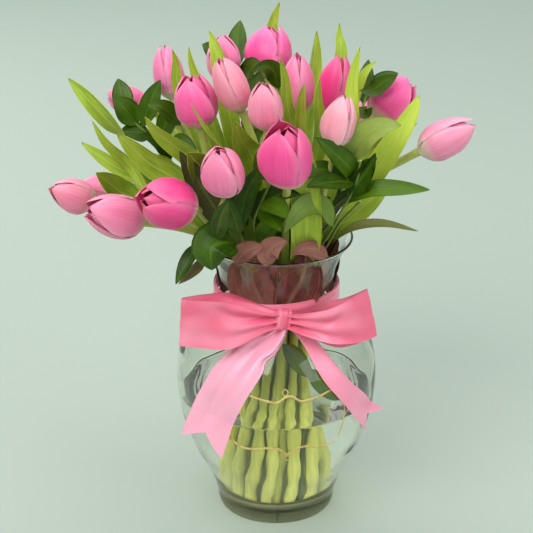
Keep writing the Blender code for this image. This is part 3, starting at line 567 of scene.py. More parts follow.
def satin_material():
    """lay: x along the ribbon in mm, y across in mm; tone x: a painted sheen that lightens the pink"""
    m, nt, p = material("pink_satin")
    lay, tone = attribute(nt, "lay"), attribute(nt, "tone")
    sep = node(nt, "ShaderNodeSeparateXYZ")
    nt.links.new(tone.outputs["Vector"], sep.inputs[0])
    weave = noise(nt, stretch(nt, lay.outputs["Vector"], (0.35, 5.5, 1.0)), 1.0, 2.0)
    warp = node(nt, "ShaderNodeTexWave", wave_type="BANDS", bands_direction="X")
    nt.links.new(stretch(nt, lay.outputs["Vector"], (3.2, 0.2, 1.0)), warp.inputs["Vector"])
    warp.inputs["Scale"].default_value = 1.0
    warp.inputs["Distortion"].default_value = 0.6
    cloud = noise(nt, stretch(nt, lay.outputs["Vector"], (0.03, 0.05, 1.0)), 1.0, 2.0)
    v = math_node(nt, "ADD", math_node(nt, "MULTIPLY", weave, 0.6), math_node(nt, "MULTIPLY", cloud, 0.4))
    c = ramp(nt, v, [(0.28, (0.76, 0.110, 0.205)), (0.72, (0.85, 0.175, 0.290))])
    # painted sheen: soft lighter pink patches mixed into the satin colour stand in for its highlights
    gleam = noise(nt, stretch(nt, lay.outputs["Vector"], (0.021, 0.030, 1.0)), 1.0, 1.0, 0.4)
    g = ramp(nt, gleam, [(0.42, (0, 0, 0)), (0.66, (0.62,) * 3)])
    c = mix(nt, g, c, (0.96, 0.36, 0.50))
    # tone x mixes in a light pink: a painted sheen on the tails
    c = mix(nt, sep.outputs[0], c, (1.0, 0.56, 0.74))
    nt.links.new(c, p.inputs["Base Color"])
    nt.links.new(ramp(nt, weave, [(0.3, (0.27,) * 3), (0.7, (0.38,) * 3)]), p.inputs["Roughness"])
    p.inputs["Sheen Weight"].default_value = 0.35
    p.inputs["Sheen Roughness"].default_value = 0.30
    p.inputs["Sheen Tint"].default_value = (1.0, 0.60, 0.70, 1)
    p.inputs["Specular IOR Level"].default_value = 0.62
    p.inputs["Specular Tint"].default_value = (1.0, 0.72, 0.80, 1)
    n = bump(nt, warp.outputs[1], 0.10, 0.00012)
    n = bump(nt, weave, 0.16, 0.00018, n)
    n = bump(nt, cloud, 0.18, 0.0035, n)
    nt.links.new(n, p.inputs["Normal"])
    return m


def clear_material(name, ior, rgb, rough_lo, rough_hi, wave_scale, wave_strength, lamp_rgb, soak=None):
    """glass or water that lets lamps through, tinted a little, with soft waves in its surface"""
    m, nt, p = material(name)
    geo = node(nt, "ShaderNodeTexCoord")
    waves = noise(nt, stretch(nt, geo.outputs["Object"], wave_scale), 1.0, 2.0)
    tint = mix(nt, noise(nt, geo.outputs["Object"], 12.0, 2.0), rgb, tuple(min(1.0, x * 1.02) for x in rgb))
    nt.links.new(tint, p.inputs["Base Color"])
    nt.links.new(ramp(nt, waves, [(0.3, (rough_lo,) * 3), (0.7, (rough_hi,) * 3)]), p.inputs["Roughness"])
    p.inputs["Transmission Weight"].default_value = 1.0
    p.inputs["IOR"].default_value = ior
    nt.links.new(bump(nt, waves, wave_strength, 0.004), p.inputs["Normal"])
    clear = node(nt, "ShaderNodeBsdfTransparent")
    clear.inputs["Color"].default_value = (*lamp_rgb, 1)
    path = node(nt, "ShaderNodeLightPath")
    mixer = node(nt, "ShaderNodeMixShader")
    nt.links.new(path.outputs["Is Shadow Ray"], mixer.inputs[0])
    nt.links.new(p.outputs[0], mixer.inputs[1])
    nt.links.new(clear.outputs[0], mixer.inputs[2])
    nt.links.new(mixer.outputs[0], nt.nodes["Material Output"].inputs["Surface"])
    if soak:
        vol = node(nt, "ShaderNodeVolumeAbsorption")
        vol.inputs["Color"].default_value = (*soak[0], 1)
        vol.inputs["Density"].default_value = soak[1]
        nt.links.new(vol.outputs[0], nt.nodes["Material Output"].inputs["Volume"])
    return m


def gold_material():
    m, nt, p = material("gold_foil")
    geo = node(nt, "ShaderNodeTexCoord")
    n1 = noise(nt, geo.outputs["Object"], 260.0, 4.0)
    c = ramp(nt, n1, [(0.3, (0.86, 0.58, 0.18)), (0.7, (1.0, 0.82, 0.38))])
    nt.links.new(c, p.inputs["Base Color"])
    p.inputs["Metallic"].default_value = 1.0
    nt.links.new(ramp(nt, n1, [(0.3, (0.25,) * 3), (0.7, (0.42,) * 3)]), p.inputs["Roughness"])
    nt.links.new(bump(nt, n1, 0.2, 0.0002), p.inputs["Normal"])
    return m


def part_material(name, lo, hi, rough, scale):
    m, nt, p = material(name)
    geo = node(nt, "ShaderNodeTexCoord")
    n1 = noise(nt, geo.outputs["Object"], scale, 4.0)
    nt.links.new(ramp(nt, n1, [(0.3, lo), (0.7, hi)]), p.inputs["Base Color"])
    nt.links.new(ramp(nt, n1, [(0.3, (rough - 0.08,) * 3), (0.7, (rough + 0.12,) * 3)]), p.inputs["Roughness"])
    nt.links.new(bump(nt, n1, 0.4, 0.0004), p.inputs["Normal"])
    return m


PETAL_M = petal_material()
TULIP_LEAF_M = leaf_material("tulip_leaf", (0.125, 0.235, 0.010), (0.44, 0.56, 0.055), (0.50, 0.62, 0.10), 0.45,
                             spec=0.28)
RUSCUS_M = leaf_material("ruscus_leaf", (0.010, 0.036, 0.001), (0.070, 0.150, 0.002), (0.09, 0.18, 0.008), 0.36,
                         True, 0.03, spec=0.24)
MAUVE_M = leaf_material("mauve_leaf", (0.105, 0.028, 0.024), (0.33, 0.140, 0.108), (0.38, 0.20, 0.14), 0.50,
                        spec=0.15)
STEM_M = stem_material()
SATIN_M = satin_material()
GLASS_M = clear_material("vase_glass", 1.50, (0.965, 0.990, 0.980), 0.0, 0.012, (22.0, 22.0, 13.0), 0.05,
                         (0.975, 0.99, 0.98), ((0.66, 0.56, 0.16), 26.0))
WATER_M = clear_material("water_clear", 1.33, (0.955, 0.985, 0.965), 0.0, 0.01, (40.0, 40.0, 40.0), 0.03,
                         (0.975, 0.985, 0.975))
GOLD_M = gold_material()
ANTHER_M = part_material("anther", (0.035, 0.018, 0.030), (0.11, 0.06, 0.07), 0.7, 900.0)
PISTIL_M = part_material("pistil", (0.50, 0.56, 0.22), (0.72, 0.74, 0.40), 0.45, 500.0)


# ------------------------------------------------------------------ paths, as in the CAD but finer
def stem_path(slot, base, direction, sway, hold, settle, low=9, high=30):
    s = np.array(slot, float)
    pts = []
    for t in np.linspace(0, 1, low)[:-1]:
        e = 0.5 * t * t * (3 - 2 * t) + 0.5 * t
        xy = turn(s, TWIST * (1 - t)) * (SPREAD + (1 - SPREAD) * e)
        pts.append((xy[0], xy[1], FOOT_Z + (WAIST_Z - FOOT_Z) * t))
    b = np.array([s[0], s[1], WAIST_Z])
    t0 = np.array([*((turn(s, NECK_TURN / 2) * NECK_SPREAD - s) / 56.0), 1.0])
    span = np.linalg.norm(base - b)
    end = base - direction * NECK_LENGTH
    p1 = b + t0 * span * hold
    p2 = end - direction * span * settle + np.array(sway, float)
    for t in np.linspace(0, 1, high):
        pts.append((1 - t) ** 3 * b + 3 * (1 - t) ** 2 * t * p1 + 3 * (1 - t) * t * t * p2 + t ** 3 * end)
    pts.append(base)
    return np.array(pts)


def on_path(path, z):
    for a, b in zip(path[:-1], path[1:]):
        if a[2] <= z <= b[2]:
            return a + (b - a) * (z - a[2]) / (b[2] - a[2] + 1e-9)
    return path[int(np.argmin(np.abs(path[:, 2] - z)))]


PROFILE = catmull(np.array([(r, z) for r, z in VASE_OUTER[1:]]), 8)


def vase_radius(z):
    return float(np.interp(z, PROFILE[:, 1], PROFILE[:, 0]))


# ------------------------------------------------------------------ vase, water, gold frame
def turned(profile, sides, ripple=None):
    verts, faces, attr = [], [], []
    ang = np.linspace(0, 2 * math.pi, sides, endpoint=False)
    rows = []
    for k, (r, z) in enumerate(profile):
        start = len(verts)
        if r < 1e-6:
            verts.append((0, 0, z))
            attr.append((0, 0, z))
            rows.append([start])
            continue
        for a in ang:
            rr = r + (ripple(a, z) if ripple else 0.0)
            verts.append((rr * math.cos(a), rr * math.sin(a), z))
            attr.append((a, r, z))
        rows.append(list(range(start, start + sides)))
    for a, b in zip(rows[:-1], rows[1:]):
        for j in range(sides):
            k = (j + 1) % sides
            if len(a) == 1:
                faces.append((a[0], b[k], b[j]))
            elif len(b) == 1:
                faces.append((a[j], a[k], b[0]))
            else:
                faces.append((a[j], a[k], b[k], b[j]))
    return verts, faces, attr


def vase():
    foot = [(0.0, 0.0), (30.0, 0.0), (49.0, 0.0), (51.6, 0.25), (53.2, 1.1), (54.0, 2.6), (54.5, 6.0), (54.6, 9.5),
            (54.3, 12.2), (54.6, 14.0)]
    outer = [(r, z) for r, z in PROFILE if 15.5 < z < 264.5]
    lip = [(67.6, 265.2), (68.3, 266.5), (68.5, 267.3), (68.2, 267.9), (67.6, 268.2), (66.7, 267.9), (65.7, 266.6)]
    zs = np.linspace(264.0, 26.0, 60)
    inner = [(vase_radius(z) - WALL + 0.9 * min(1.0, max(0, (z - 222) / 30)), z) for z in zs]
    floor = [(52.5, 21.0), (48.0, 16.6), (42.0, 14.0), (33.0, 12.8), (18.0, 12.2), (0.0, FLOOR)]
    n_out = len(foot) + len(outer) + len(lip) - 3

    def ripple(a, z):
        return 0.0
    verts, faces, attr = turned(foot + outer + lip + inner + floor, 144)
    verts = np.array(verts)
    # the inner wall of pressed glass is a little uneven
    r = np.hypot(verts[:, 0], verts[:, 1])
    a = np.arctan2(verts[:, 1], verts[:, 0])
    z = verts[:, 2]
    inside = np.zeros(len(verts), bool)
    inside[1 + (n_out) * 144:] = True
    inside &= (z > 24) & (z < 262)
    fade = np.clip((z - 24) / 16, 0, 1) * np.clip((262 - z) / 20, 0, 1)
    dr = (0.20 * np.sin(5 * a + z * 0.045) + 0.10 * np.sin(9 * a - z * 0.07 + 1.3)
          + 0.16 * np.sin(z * 0.19 + 2 * a)) * fade * inside
    k = 1 + dr / np.maximum(r, 1)
    verts[:, 0] *= k
    verts[:, 1] *= k
    b = Build()
    b.add(verts, faces, attr)
    return b.make("vase_glass_body", GLASS_M, "glass", "vase")


def water():
    gap = 0.55
    prof = [(0.0, FLOOR + gap), (18.0, 12.2 + gap), (33.0, 12.8 + gap), (41.8, 14.0 + gap), (47.7, 16.6 + gap),
            (52.0, 21.0 + gap)]
    prof += [(vase_radius(z) - WALL - gap, z) for z in np.linspace(27.0, WATER_LEVEL - 1.2, 40)]
    top = vase_radius(WATER_LEVEL) - WALL - gap
    prof += [(top + 0.1, WATER_LEVEL + 0.5), (top - 0.5, WATER_LEVEL), (top - 1.6, WATER_LEVEL - 0.55),
             (top - 4.0, WATER_LEVEL - 0.8), (60.0, WATER_LEVEL - 0.85), (30.0, WATER_LEVEL - 0.85),
             (0.0, WATER_LEVEL - 0.85)]
    v, f, a = turned(prof, 144)
    b = Build()
    b.add(v, f, a)
    return b.make("water_body", WATER_M, "water", "water")


def on_glass(az, z, off):
    r = vase_radius(z) + off
    a = math.radians(az)
    return np.array([r * math.sin(a), -r * math.cos(a), z])


def gold_lines():
    """an empty printed cartouche: two scrolled rules and the side strokes that close it"""
    runs = [
        ([(-30, 148.5), (-24, 152.5), (-19, 152.3), (-12, 150), (-5.5, 147.6), (0, 146.4), (4.5, 150.8), (8, 151.9),
          (11, 149), (14, 146.5), (18.6, 147.2), (25, 149), (32, 151.6), (37, 150.2), (40.5, 145)], 1.9),
        ([(40.8, 138), (41.3, 130), (40.8, 120), (40, 110), (37.5, 101.5)], 1.5),
        ([(-37.5, 101.5), (-33.5, 105.5), (-27.6, 105.4), (-21.9, 98.6), (-14.3, 97.2), (-6, 99.6), (0.2, 99.4),
          (4, 95.4), (6.2, 92.9), (9.6, 97.2), (15.9, 99.8), (23, 97.6), (29.9, 95.9), (35.5, 98.6)], 1.9),
        ([(-41.0, 136), (-42.0, 127), (-41.6, 118), (-40.0, 108)], 1.5),
        ([(3.0, 155.5), (4.6, 158.5), (6.2, 155.5), (4.6, 152.6), (3.0, 155.5)], 1.1),
        ([(4.6, 88.6), (6.2, 85.6), (7.8, 88.6), (6.2, 91.2), (4.6, 88.6)], 1.1)]
    b = Build()
    for pts, w in runs:
        line = resample(catmull(pts, 10), 14 * len(pts))
        w *= 1.3
        p = np.array([on_glass(az, z, 0.0) for az, z in line])
        t = unit(np.gradient(p, axis=0))
        n = np.array([unit((q[0], q[1], 0)) for q in p])
        s = unit(np.cross(t, n))
        u = np.linspace(0, 1, len(p))
        ww = w * (0.45 + 0.55 * np.sin(math.pi * u) ** 0.5) * (1 + 0.12 * np.sin(u * 40))
        rings = np.stack([p + s * ww[:, None] / 2 + n * 0.06, p + s * ww[:, None] * 0.3 + n * 0.20,
                          p - s * ww[:, None] * 0.3 + n * 0.20, p - s * ww[:, None] / 2 + n * 0.06], 1)
        m = len(p)
        faces = []
        for i in range(m - 1):
            for j in range(4):
                k = (j + 1) % 4
                faces.append((i * 4 + j, i * 4 + k, (i + 1) * 4 + k, (i + 1) * 4 + j))
        faces.append((0, 3, 2, 1))
        faces.append(tuple((m - 1) * 4 + j for j in range(4)))
        b.add(rings.reshape(-1, 3), faces, np.zeros((m * 4, 3)))
    return b.make("gold_cartouche", GOLD_M, "glass")


vase()
water()
gold_lines()


# ------------------------------------------------------------------ leaves and stems
def tulip_leaf(b, line, width, face, seed, shade=0.0, brown=0.0, nu=40, nv=13):
    """long strap leaf: clasps its stem in a gutter at the base, opens to a folded blade, ends in a point"""
    rng = np.random.default_rng(seed)
    c = smooth_line(resample(line, nu), 8)
    t = unit(np.gradient(c, axis=0))
    s = unit(np.cross(t, face))
    for _ in range(6):
        s[1:-1] = unit(0.25 * s[:-2] + 0.5 * s[1:-1] + 0.25 * s[2:])
    s = unit(s - t * (s * t).sum(1, keepdims=True))
    n = unit(np.cross(s, t))
    u = np.linspace(0, 1, nu)
    wide = np.interp(u, [0, 0.10, 0.28, 0.50, 0.68, 0.82, 0.91, 0.965, 1.0],
                     [0.55, 0.74, 0.97, 1.05, 0.98, 0.78, 0.54, 0.30, 0.04])
    for _ in range(2):
        wide[1:-1] = 0.25 * wide[:-2] + 0.5 * wide[1:-1] + 0.25 * wide[2:]
    wide = np.maximum(wide * width * 1.12, 0.3)
    v = np.linspace(-1, 1, nv)
    ph = rng.uniform(0, 6.28, 4)
    L = length_of(c)
    grid = np.zeros((nu, nv, 3))
    for i in range(nu):
        gutter = 0.85 * (1 - u[i]) ** 2.2 + 0.34            # how strongly the section curls up
        a = v * gutter * 1.15
        w = wide[i] / 2
        # arc section with the half width kept
        x = np.sin(a) / max(gutter * 1.15, 1e-3) * w
        y = (1 - np.cos(a)) / max(gutter * 1.15, 1e-3) * w
        wave = (np.abs(v) ** 1.6) * w * 0.09 * (np.sin(L * u[i] * 0.085 + ph[0]) * (v > 0)
                                                 + np.sin(L * u[i] * 0.078 + ph[1]) * (v < 0)) * math.sin(math.pi * u[i])
        grid[i] = c[i] + s[i] * x[:, None] + n[i] * (y + wave + 0.05 * w)[:, None]
    uu, vv = np.meshgrid(u, v, indexing="ij")
    z = np.full_like(uu, rng.uniform(0, 9))
    attr = np.stack([uu * L / 60.0, vv, z], -1)
    tone = np.zeros_like(attr)
    tone[..., 0] = shade + rng.uniform(-0.05, 0.05) + 0.18 * (uu - 0.5) * 0.5
    tone[..., 1] = brown
    thick_sheet(b, grid, 0.85, attr, tone)


def oval_leaf(b, line, width, face, seed, shade=0.0, brown=0.0, nu=26, nv=11, cup=0.16, curl=0.0):
    """ruscus leaf: pointed oval, slightly cupped, with a raised midrib"""
    rng = np.random.default_rng(seed)
    c = resample(line, nu)
    L = length_of(c)
    t = unit(np.gradient(c, axis=0))
    s = unit(np.cross(t, np.asarray(face, float)))
    s = unit(s - t * (s * t).sum(1, keepdims=True))
    n = unit(np.cross(s, t))
    u = np.linspace(0, 1, nu)
    k = np.clip((u - 0.05) / 0.95, 0, 1)
    wide = width * 1.05 * np.sin(math.pi * k ** 0.86) ** 0.80
    wide = np.maximum(np.nan_to_num(wide), 0.9 * (1 - u) + 0.18)
    v = np.linspace(-1, 1, nv)
    ph = rng.uniform(0, 6.28, 3)
    roll = rng.uniform(-0.25, 0.25)
    grid = np.zeros((nu, nv, 3))
    for i in range(nu):
        w = wide[i] / 2
        y = cup * w * v ** 2 * 1.3 + 0.07 * w * np.sin(5.2 * u[i] + ph[0] + 1.6 * v)
        ang = roll * u[i]
        x = v * w * (1 - 0.12 * cup)
        grid[i] = c[i] + s[i] * (x * math.cos(ang))[:, None] + n[i] * (y + x * math.sin(ang))[:, None]
        grid[i] += n[i] * (-0.10 * L * curl * (u[i] ** 2))
    uu, vv = np.meshgrid(u, v, indexing="ij")
    attr = np.stack([uu * L / 40.0, vv * 0.9, np.full_like(uu, rng.uniform(0, 9))], -1)
    tone = np.zeros_like(attr)
    tone[..., 0] = shade + rng.uniform(-0.07, 0.07)
    tone[..., 1] = max(brown, 0.0)
    # a negative brown gives paleness instead: a painted sheen of light
    tone[..., 2] = max(-brown, 0.0)
    thick_sheet(b, grid, 0.75, attr, tone)


DARK = {"05": -0.30}
SHADE = {("16", 0): 0.1}
paths = {}
for key, slot, base, tip, width, sway, hold, settle in TULIPS:
    base, tip = np.array(base, float), np.array(tip, float)
    d = unit(tip - base)
    path = stem_path(slot, base + d * 0.6, d, sway, hold, settle)
    path = resample(smooth_line(path, 2), 70)
    paths[key] = path
    dip = np.clip((150 - path[:, 2]) / 60, 0, 1) * np.clip((path[:, 2] - 14) / 20, 0, 1)
    path = path + np.stack([1.2 * np.sin(path[:, 2] * 0.070 + 1.7 * float(key)) * dip,
                            1.2 * np.cos(path[:, 2] * 0.062 + 2.3 * float(key)) * dip, 0 * dip], 1)
    u = np.linspace(0, 1, len(path))
    radii = STEM_R_FOOT + (STEM_R_HEAD - STEM_R_FOOT) * u
    radii = radii * (1 + 0.03 * np.sin(u * 23 + float(key)))
    low = np.clip((165 - path[:, 2]) / 60, 0, 1)
    radii = radii * (1 + low * (0.08 + 0.15 * np.sin(path[:, 2] * 0.21 + 2.1 * float(key))))
    # nodes where leaves were, and a slight swelling under the bloom
    radii = radii + 0.5 * np.exp(-((u - 1) / 0.012) ** 2) + 0.35 * np.exp(-((u - 0.30 - 0.02 * (int(key) % 5)) / 0.012) ** 2)
    b = Build()
    bar(b, path, radii, 18, (float(RNG.uniform(-0.08, 0.05)), 0, 0), wobble=0.02)
    stem_ob = b.make("tulip_%s_stem_bar" % key, STEM_M, "tulip_green", "tulip_%s_stem" % key)
    mine = [l for l in LEAVES if l[0] == key]
    if mine:
        b = Build()
        for i, (owner, z, route, w, az, el) in enumerate(mine):
            start = on_path(path, z)
            line = catmull([start] + [np.array(p, float) for p in route], 12)
            shade = {"05": -0.22, "03": -0.02, "10": 0.12, "11": 0.12, "12": 0.22}.get(key, 0.0)
            tulip_leaf(b, line, w, facing(az, el), 100 + int(key) * 7 + i, shade, 0.15 if key == "05" else 0.0)
        b.make("tulip_%s_leaves" % key, TULIP_LEAF_M, "tulip_green")

sprig_no = 0
for key, slot, route, leaves in SPRIGS:
    sprig_no += 1
    first = np.array(route[0], float)
    w0 = np.array([slot[0], slot[1], WAIST_Z])
    path = stem_path(slot, first, unit(first - w0), (0, 0, 0), 0.42, 0.36)
    shown = catmull(route, 10)
    whole = resample(smooth_line(np.vstack([path[:-1], shown]), 2), 60)
    b = Build()
    rr = np.linspace(SPRIG_R, 1.1, 60)
    bar(b, whole, rr, 12, (0.32, 0.72, 0), wobble=0.02)
    course = resample(shown, 5)
    b.make("ruscus_%s_stem" % key, STEM_M, "ruscus_green", "ruscus_" + key)
    b = Build()
    for i, (share, tip, width) in enumerate(leaves):
        u = np.linspace(0, 1, len(course))
        a = np.array([np.interp(min(share, 0.97), u, course[:, k]) for k in range(3)])
        tip = np.array(tip, float)
        crown = (a + tip) / 2 + np.array([0, 0, 0.10 * np.linalg.norm(tip - a)])
        line = np.array([(1 - t) ** 2 * a + 2 * (1 - t) * t * crown + t * t * tip for t in np.linspace(0, 1, 20)])
        face = (0.0, 0.6, 0.8) if key == "back" else (0.0, -0.7, 0.75)
        if (key, i) in SKIP:
            continue
        shade = {"front": 0.10}.get(key, 0.0) + (0.25 if (key == "front" and i == 0) else 0.0)
        oval_leaf(b, line, width, face, 500 + sprig_no * 11 + i, shade, 0.0)
    if b.v:
        b.make("ruscus_%s_leaves" % key, RUSCUS_M, "ruscus_green")

b = Build()
for i, (name, pts, width, az, el, shade, brown) in enumerate(EXTRA):
    oval_leaf(b, smooth_line(resample(catmull(pts, 10), 26), 3), width, facing(az, el), 700 + i, shade, brown,
              nu=30, nv=13, cup=0.22)
b.make("ruscus_outer_leaves", RUSCUS_M, "ruscus_green")


def round_axis(az, r, z):
    a = math.radians(az)
    return np.array([r * math.sin(a), -r * math.cos(a), z])


# leaves deep in the bunch, given a low shade as painted shade for the dark inside of the bunch
rng = np.random.default_rng(77)
b = Build()
for i in range(46):
    az = i * 137.5 + rng.uniform(-14, 14)
    z0 = 252 + 34 * (i % 5) / 4 + rng.uniform(-4, 4)
    r0 = rng.uniform(10, 34)
    L = rng.uniform(52, 78)
    out = rng.uniform(0.30, 0.62)
    swing = rng.uniform(-16, 16)
    pts = [round_axis(az, r0, z0), round_axis(az + swing * 0.4, r0 + L * out * 0.30, z0 + L * 0.36),
           round_axis(az + swing * 0.8, r0 + L * out * 0.66, z0 + L * 0.66),
           round_axis(az + swing, r0 + L * out * 1.1, z0 + L * 0.86)]
    oval_leaf(b, smooth_line(resample(catmull(pts, 8), 22), 2), rng.uniform(19, 27),
              facing(az + rng.uniform(-30, 30), rng.uniform(5, 40)), 800 + i, rng.uniform(-0.22, -0.02),
              0.0 if i % 4 else 0.25, nu=20, nv=9, cup=0.2)
b.make("ruscus_inner_leaves", RUSCUS_M, "ruscus_green")

# reddish leaf undersides pressed against the glass of the neck, their ends showing over the rim
b = Build()
for i, (azs, w, top) in enumerate((((-5, -19, -27, -14), 40, 281), ((2, 17, 27, 30), 40, 277),
                                   ((84, 88, 92, 90), 26, 262), ((-88, -90, -92, -90), 26, 262),
                                   ((102, 112, 118, 122), 40, 276), ((-118, -108, -102, -98), 40, 272),
                                   ((168, 158, 152, 148), 40, 278), ((-172, -160, -152, -150), 38, 272),
                                   ((-30, -44, -50, -46), 30, 284), ((26, 40, 48, 46), 30, 274))):
    gap = 4.6 if i < 8 else 9.0
    zs = (201, 226, 252, top)
    pts = [round_axis(a, min(vase_radius(z) - WALL - gap, 57.0) if z < 262 else 55.0 - 3 * (i % 2), z)
           for a, z in zip(azs, zs)]
    oval_leaf(b, smooth_line(resample(catmull(pts, 10), 28), 3), w, facing(azs[1], 0), 900 + i,
              rng.uniform(-0.15, 0.15), 0.0, nu=30, nv=15, cup=0.24)
for i, (pts, w) in enumerate(((((-5, -62, 264), (-8, -66, 277), (-2, -68, 286), (9, -70, 291)), 20),
                              (((-36, -60, 264), (-30, -64, 276), (-22, -66, 282), (-11, -68, 285)), 17),
                              (((45, -52, 268), (31, -60, 279), (21, -62, 280), (13, -62, 275)), 15))):
    oval_leaf(b, smooth_line(resample(catmull(pts, 10), 24), 3), w, facing(0, 25), 980 + i, 0.10, 0.0, nu=24, nv=13,
              cup=0.2)
b.make("neck_leaves", MAUVE_M, "ruscus_green")

# leaves left on the stems, inside the vase above the water
b = Build()
for i, (pts, w, face, shade, brown) in enumerate(IN_VASE):
    oval_leaf(b, smooth_line(resample(catmull(pts, 10), 24), 3), w, face, 950 + i, shade, brown, nu=24, nv=11, cup=0.15)
b.make("vase_leaves", RUSCUS_M, "ruscus_green")


# ------------------------------------------------------------------ blooms
def petal(b, base, d, side, up, phi, L, R, opening, inner, rng, tone, nu=24, nv=15):
    """one petal wrapped on the cup: broad, pointed, with a midrib crease and a slightly rolled rim"""
    u = np.linspace(0, 1, nu)
    v = np.linspace(-1, 1, nv)
    lift = rng.uniform(-0.03, 0.04)
    flare = opening * (0.55 if not inner else 0.18) + rng.uniform(-0.03, 0.05)
    if inner:
        L = L * 0.97
    tall = L * (1.0 + lift)
    # cup radius along the petal
    ku = np.array([0.0, 0.06, 0.16, 0.32, 0.50, 0.68, 0.84, 1.0])
    closed = np.array([0.16, 0.46, 0.76, 0.96, 1.0, 0.91, 0.65, 0.16])
    wideo = np.array([0.16, 0.48, 0.80, 0.99, 1.04, 1.02, 0.98, 0.92])
    if inner:
        closed[-2:] = (0.58, 0.05)
    k = closed + (wideo - closed) * np.clip(flare, 0, 1)
    rad = np.interp(u, ku, k)
    rad = np.convolve(np.r_[rad[0], rad, rad[-1]], [0.25, 0.5, 0.25], "valid")
    rad = rad * R * (0.90 if inner else 1.0)
    # height: the tip leans in, so height grows less at the end
    h = tall * (u - 0.035 * np.sin(math.pi * u))
    # half angle the petal covers
    half = math.radians(64 if not inner else 58)
    shape = np.interp(u, [0, 0.08, 0.22, 0.45, 0.65, 0.80, 0.91, 0.97, 1.0],
                      [0.42, 0.66, 0.90, 1.0, 0.94, 0.74, 0.46, 0.22, 0.03])
    grid = np.zeros((nu, nv, 3))
    ph = rng.uniform(0, 6.28, 3)
    skew = rng.uniform(-0.10, 0.10)
    for i in range(nu):
        narrow = shape[i] * (R / max(rad[i], R * 0.3)) ** 0.55
        a = phi + half * narrow * v + skew * u[i]
        flat = 0.10 * (1 - u[i]) * 0 + 0.05
        r = rad[i] * (1 - flat * (1 - v ** 2) * 0.0)
        crease = -0.045 * R * np.exp(-(v / 0.16) ** 2) * math.sin(math.pi * min(1, u[i] * 1.05))
        rim = (np.abs(v) ** 3) * R * (0.05 + 0.06 * opening) * math.sin(math.pi * min(1.0, u[i] * 1.15 + 0.02))
        ruf = (np.abs(v) ** 2) * R * 0.035 * np.sin(9 * u[i] + ph[0] + 2.0 * v)
        rr = r + crease + (rim if not inner else -rim * 0.4) + ruf
        # tip turns out a little
        rr = rr + (u[i] ** 6) * R * (0.05 + 0.33 * opening) * (1 if not inner else 0.3)
        drop = -0.05 * tall * (v ** 2) * u[i] ** 2 * (0.4 + opening)
        grid[i] = base + d * (h[i] + drop)[:, None] + (side * np.cos(a)[:, None] + up * np.sin(a)[:, None]) * rr[:, None]
    uu, vv = np.meshgrid(u, v, indexing="ij")
    attr = np.stack([uu, vv, np.full_like(uu, rng.uniform(0, 20))], -1)
    f = 1 + rng.uniform(-0.06, 0.06)
    thick_sheet(b, grid, 1.0, attr, np.array(tone) * f)


def bloom(key, base, tip, width, opening):
    rng = np.random.default_rng(900 + int(key))
    d = unit(tip - base)
    L = np.linalg.norm(tip - base)
    side = unit(np.cross(d, (0.31, -0.95, 0.1)))
    up = np.cross(d, side)
    b = Build()
    R = width / 2 * 0.93
    turn0 = rng.uniform(0, 2 * math.pi)
    rgb = np.array(BLOOM_RGB[key])
    for i in range(3):
        a = turn0 + i * 2 * math.pi / 3 + math.pi / 3 + rng.uniform(-0.08, 0.08)
        petal(b, base, d, side, up, a, L, R, opening, True, rng, rgb * (0.94, 0.80, 0.88))
    for i in range(3):
        a = turn0 + i * 2 * math.pi / 3 + rng.uniform(-0.08, 0.08)
        petal(b, base, d, side, up, a, L, R, opening, False, rng, rgb)
    b.make("tulip_%s_petals" % key, PETAL_M, "petal_pale" if key in PALE else "petal", "tulip_%s_bloom" % key)
    # pistil and six stamens
    p, s = Build(), Build()
    line = np.array([base + d * t for t in np.linspace(L * 0.04, L * 0.40, 12)])
    bar(p, line, np.interp(np.linspace(0, 1, 12), [0, 0.2, 0.8, 1], [1.9, 2.5, 2.1, 1.7]), 12)
    for i in range(3):
        a = i * 2.094
        o = side * math.cos(a) + up * math.sin(a)
        q = np.array([line[-1] + o * x + d * y for x, y in ((0, 0), (1.4, 0.9), (2.6, 1.0), (3.3, 0.1))])
        bar(p, resample(q, 7), [1.2, 1.3, 1.3, 1.2, 1.0, 0.8, 0.5], 8)
    p.make("tulip_%s_pistil" % key, PISTIL_M, "tulip_green")
    for i in range(6):
        a = i * math.pi / 3 + 0.3
        o = side * math.cos(a) + up * math.sin(a)
        q = np.array([base + d * L * 0.05 + o * 2.2, base + d * L * 0.16 + o * 4.2, base + d * L * 0.24 + o * 5.0])
        bar(s, resample(q, 6), [0.8] * 6, 6)
        q = np.array([base + d * L * 0.22 + o * 5.0, base + d * L * 0.42 + o * 5.6])
        bar(s, resample(q, 8), [0.7, 1.3, 1.5, 1.5, 1.5, 1.4, 1.2, 0.6], 8)
    s.make("tulip_%s_stamens" % key, ANTHER_M, "petal")


for key, slot, base, tip, width, sway, hold, settle in TULIPS:
    bloom(key, np.array(base, float), np.array(tip, float), width, OPEN.get(key, 0.0))


# ------------------------------------------------------------------ ribbon
kx, ky, kz = KNOT


def pleat(v, tall, flat_w, waves, phase):
    """depth of the folds across a gathered ribbon, so that its length across stays near flat_w"""
    slack = max(0.0, (flat_w / max(tall, 1.0)) ** 2 - 1.0)
    amp = tall / (2 * math.pi * waves) * math.sqrt(2 * slack) * 0.92
    amp = min(amp, 3.4)
    return amp * np.sin(2 * math.pi * waves * (v + 0.5) + phase)


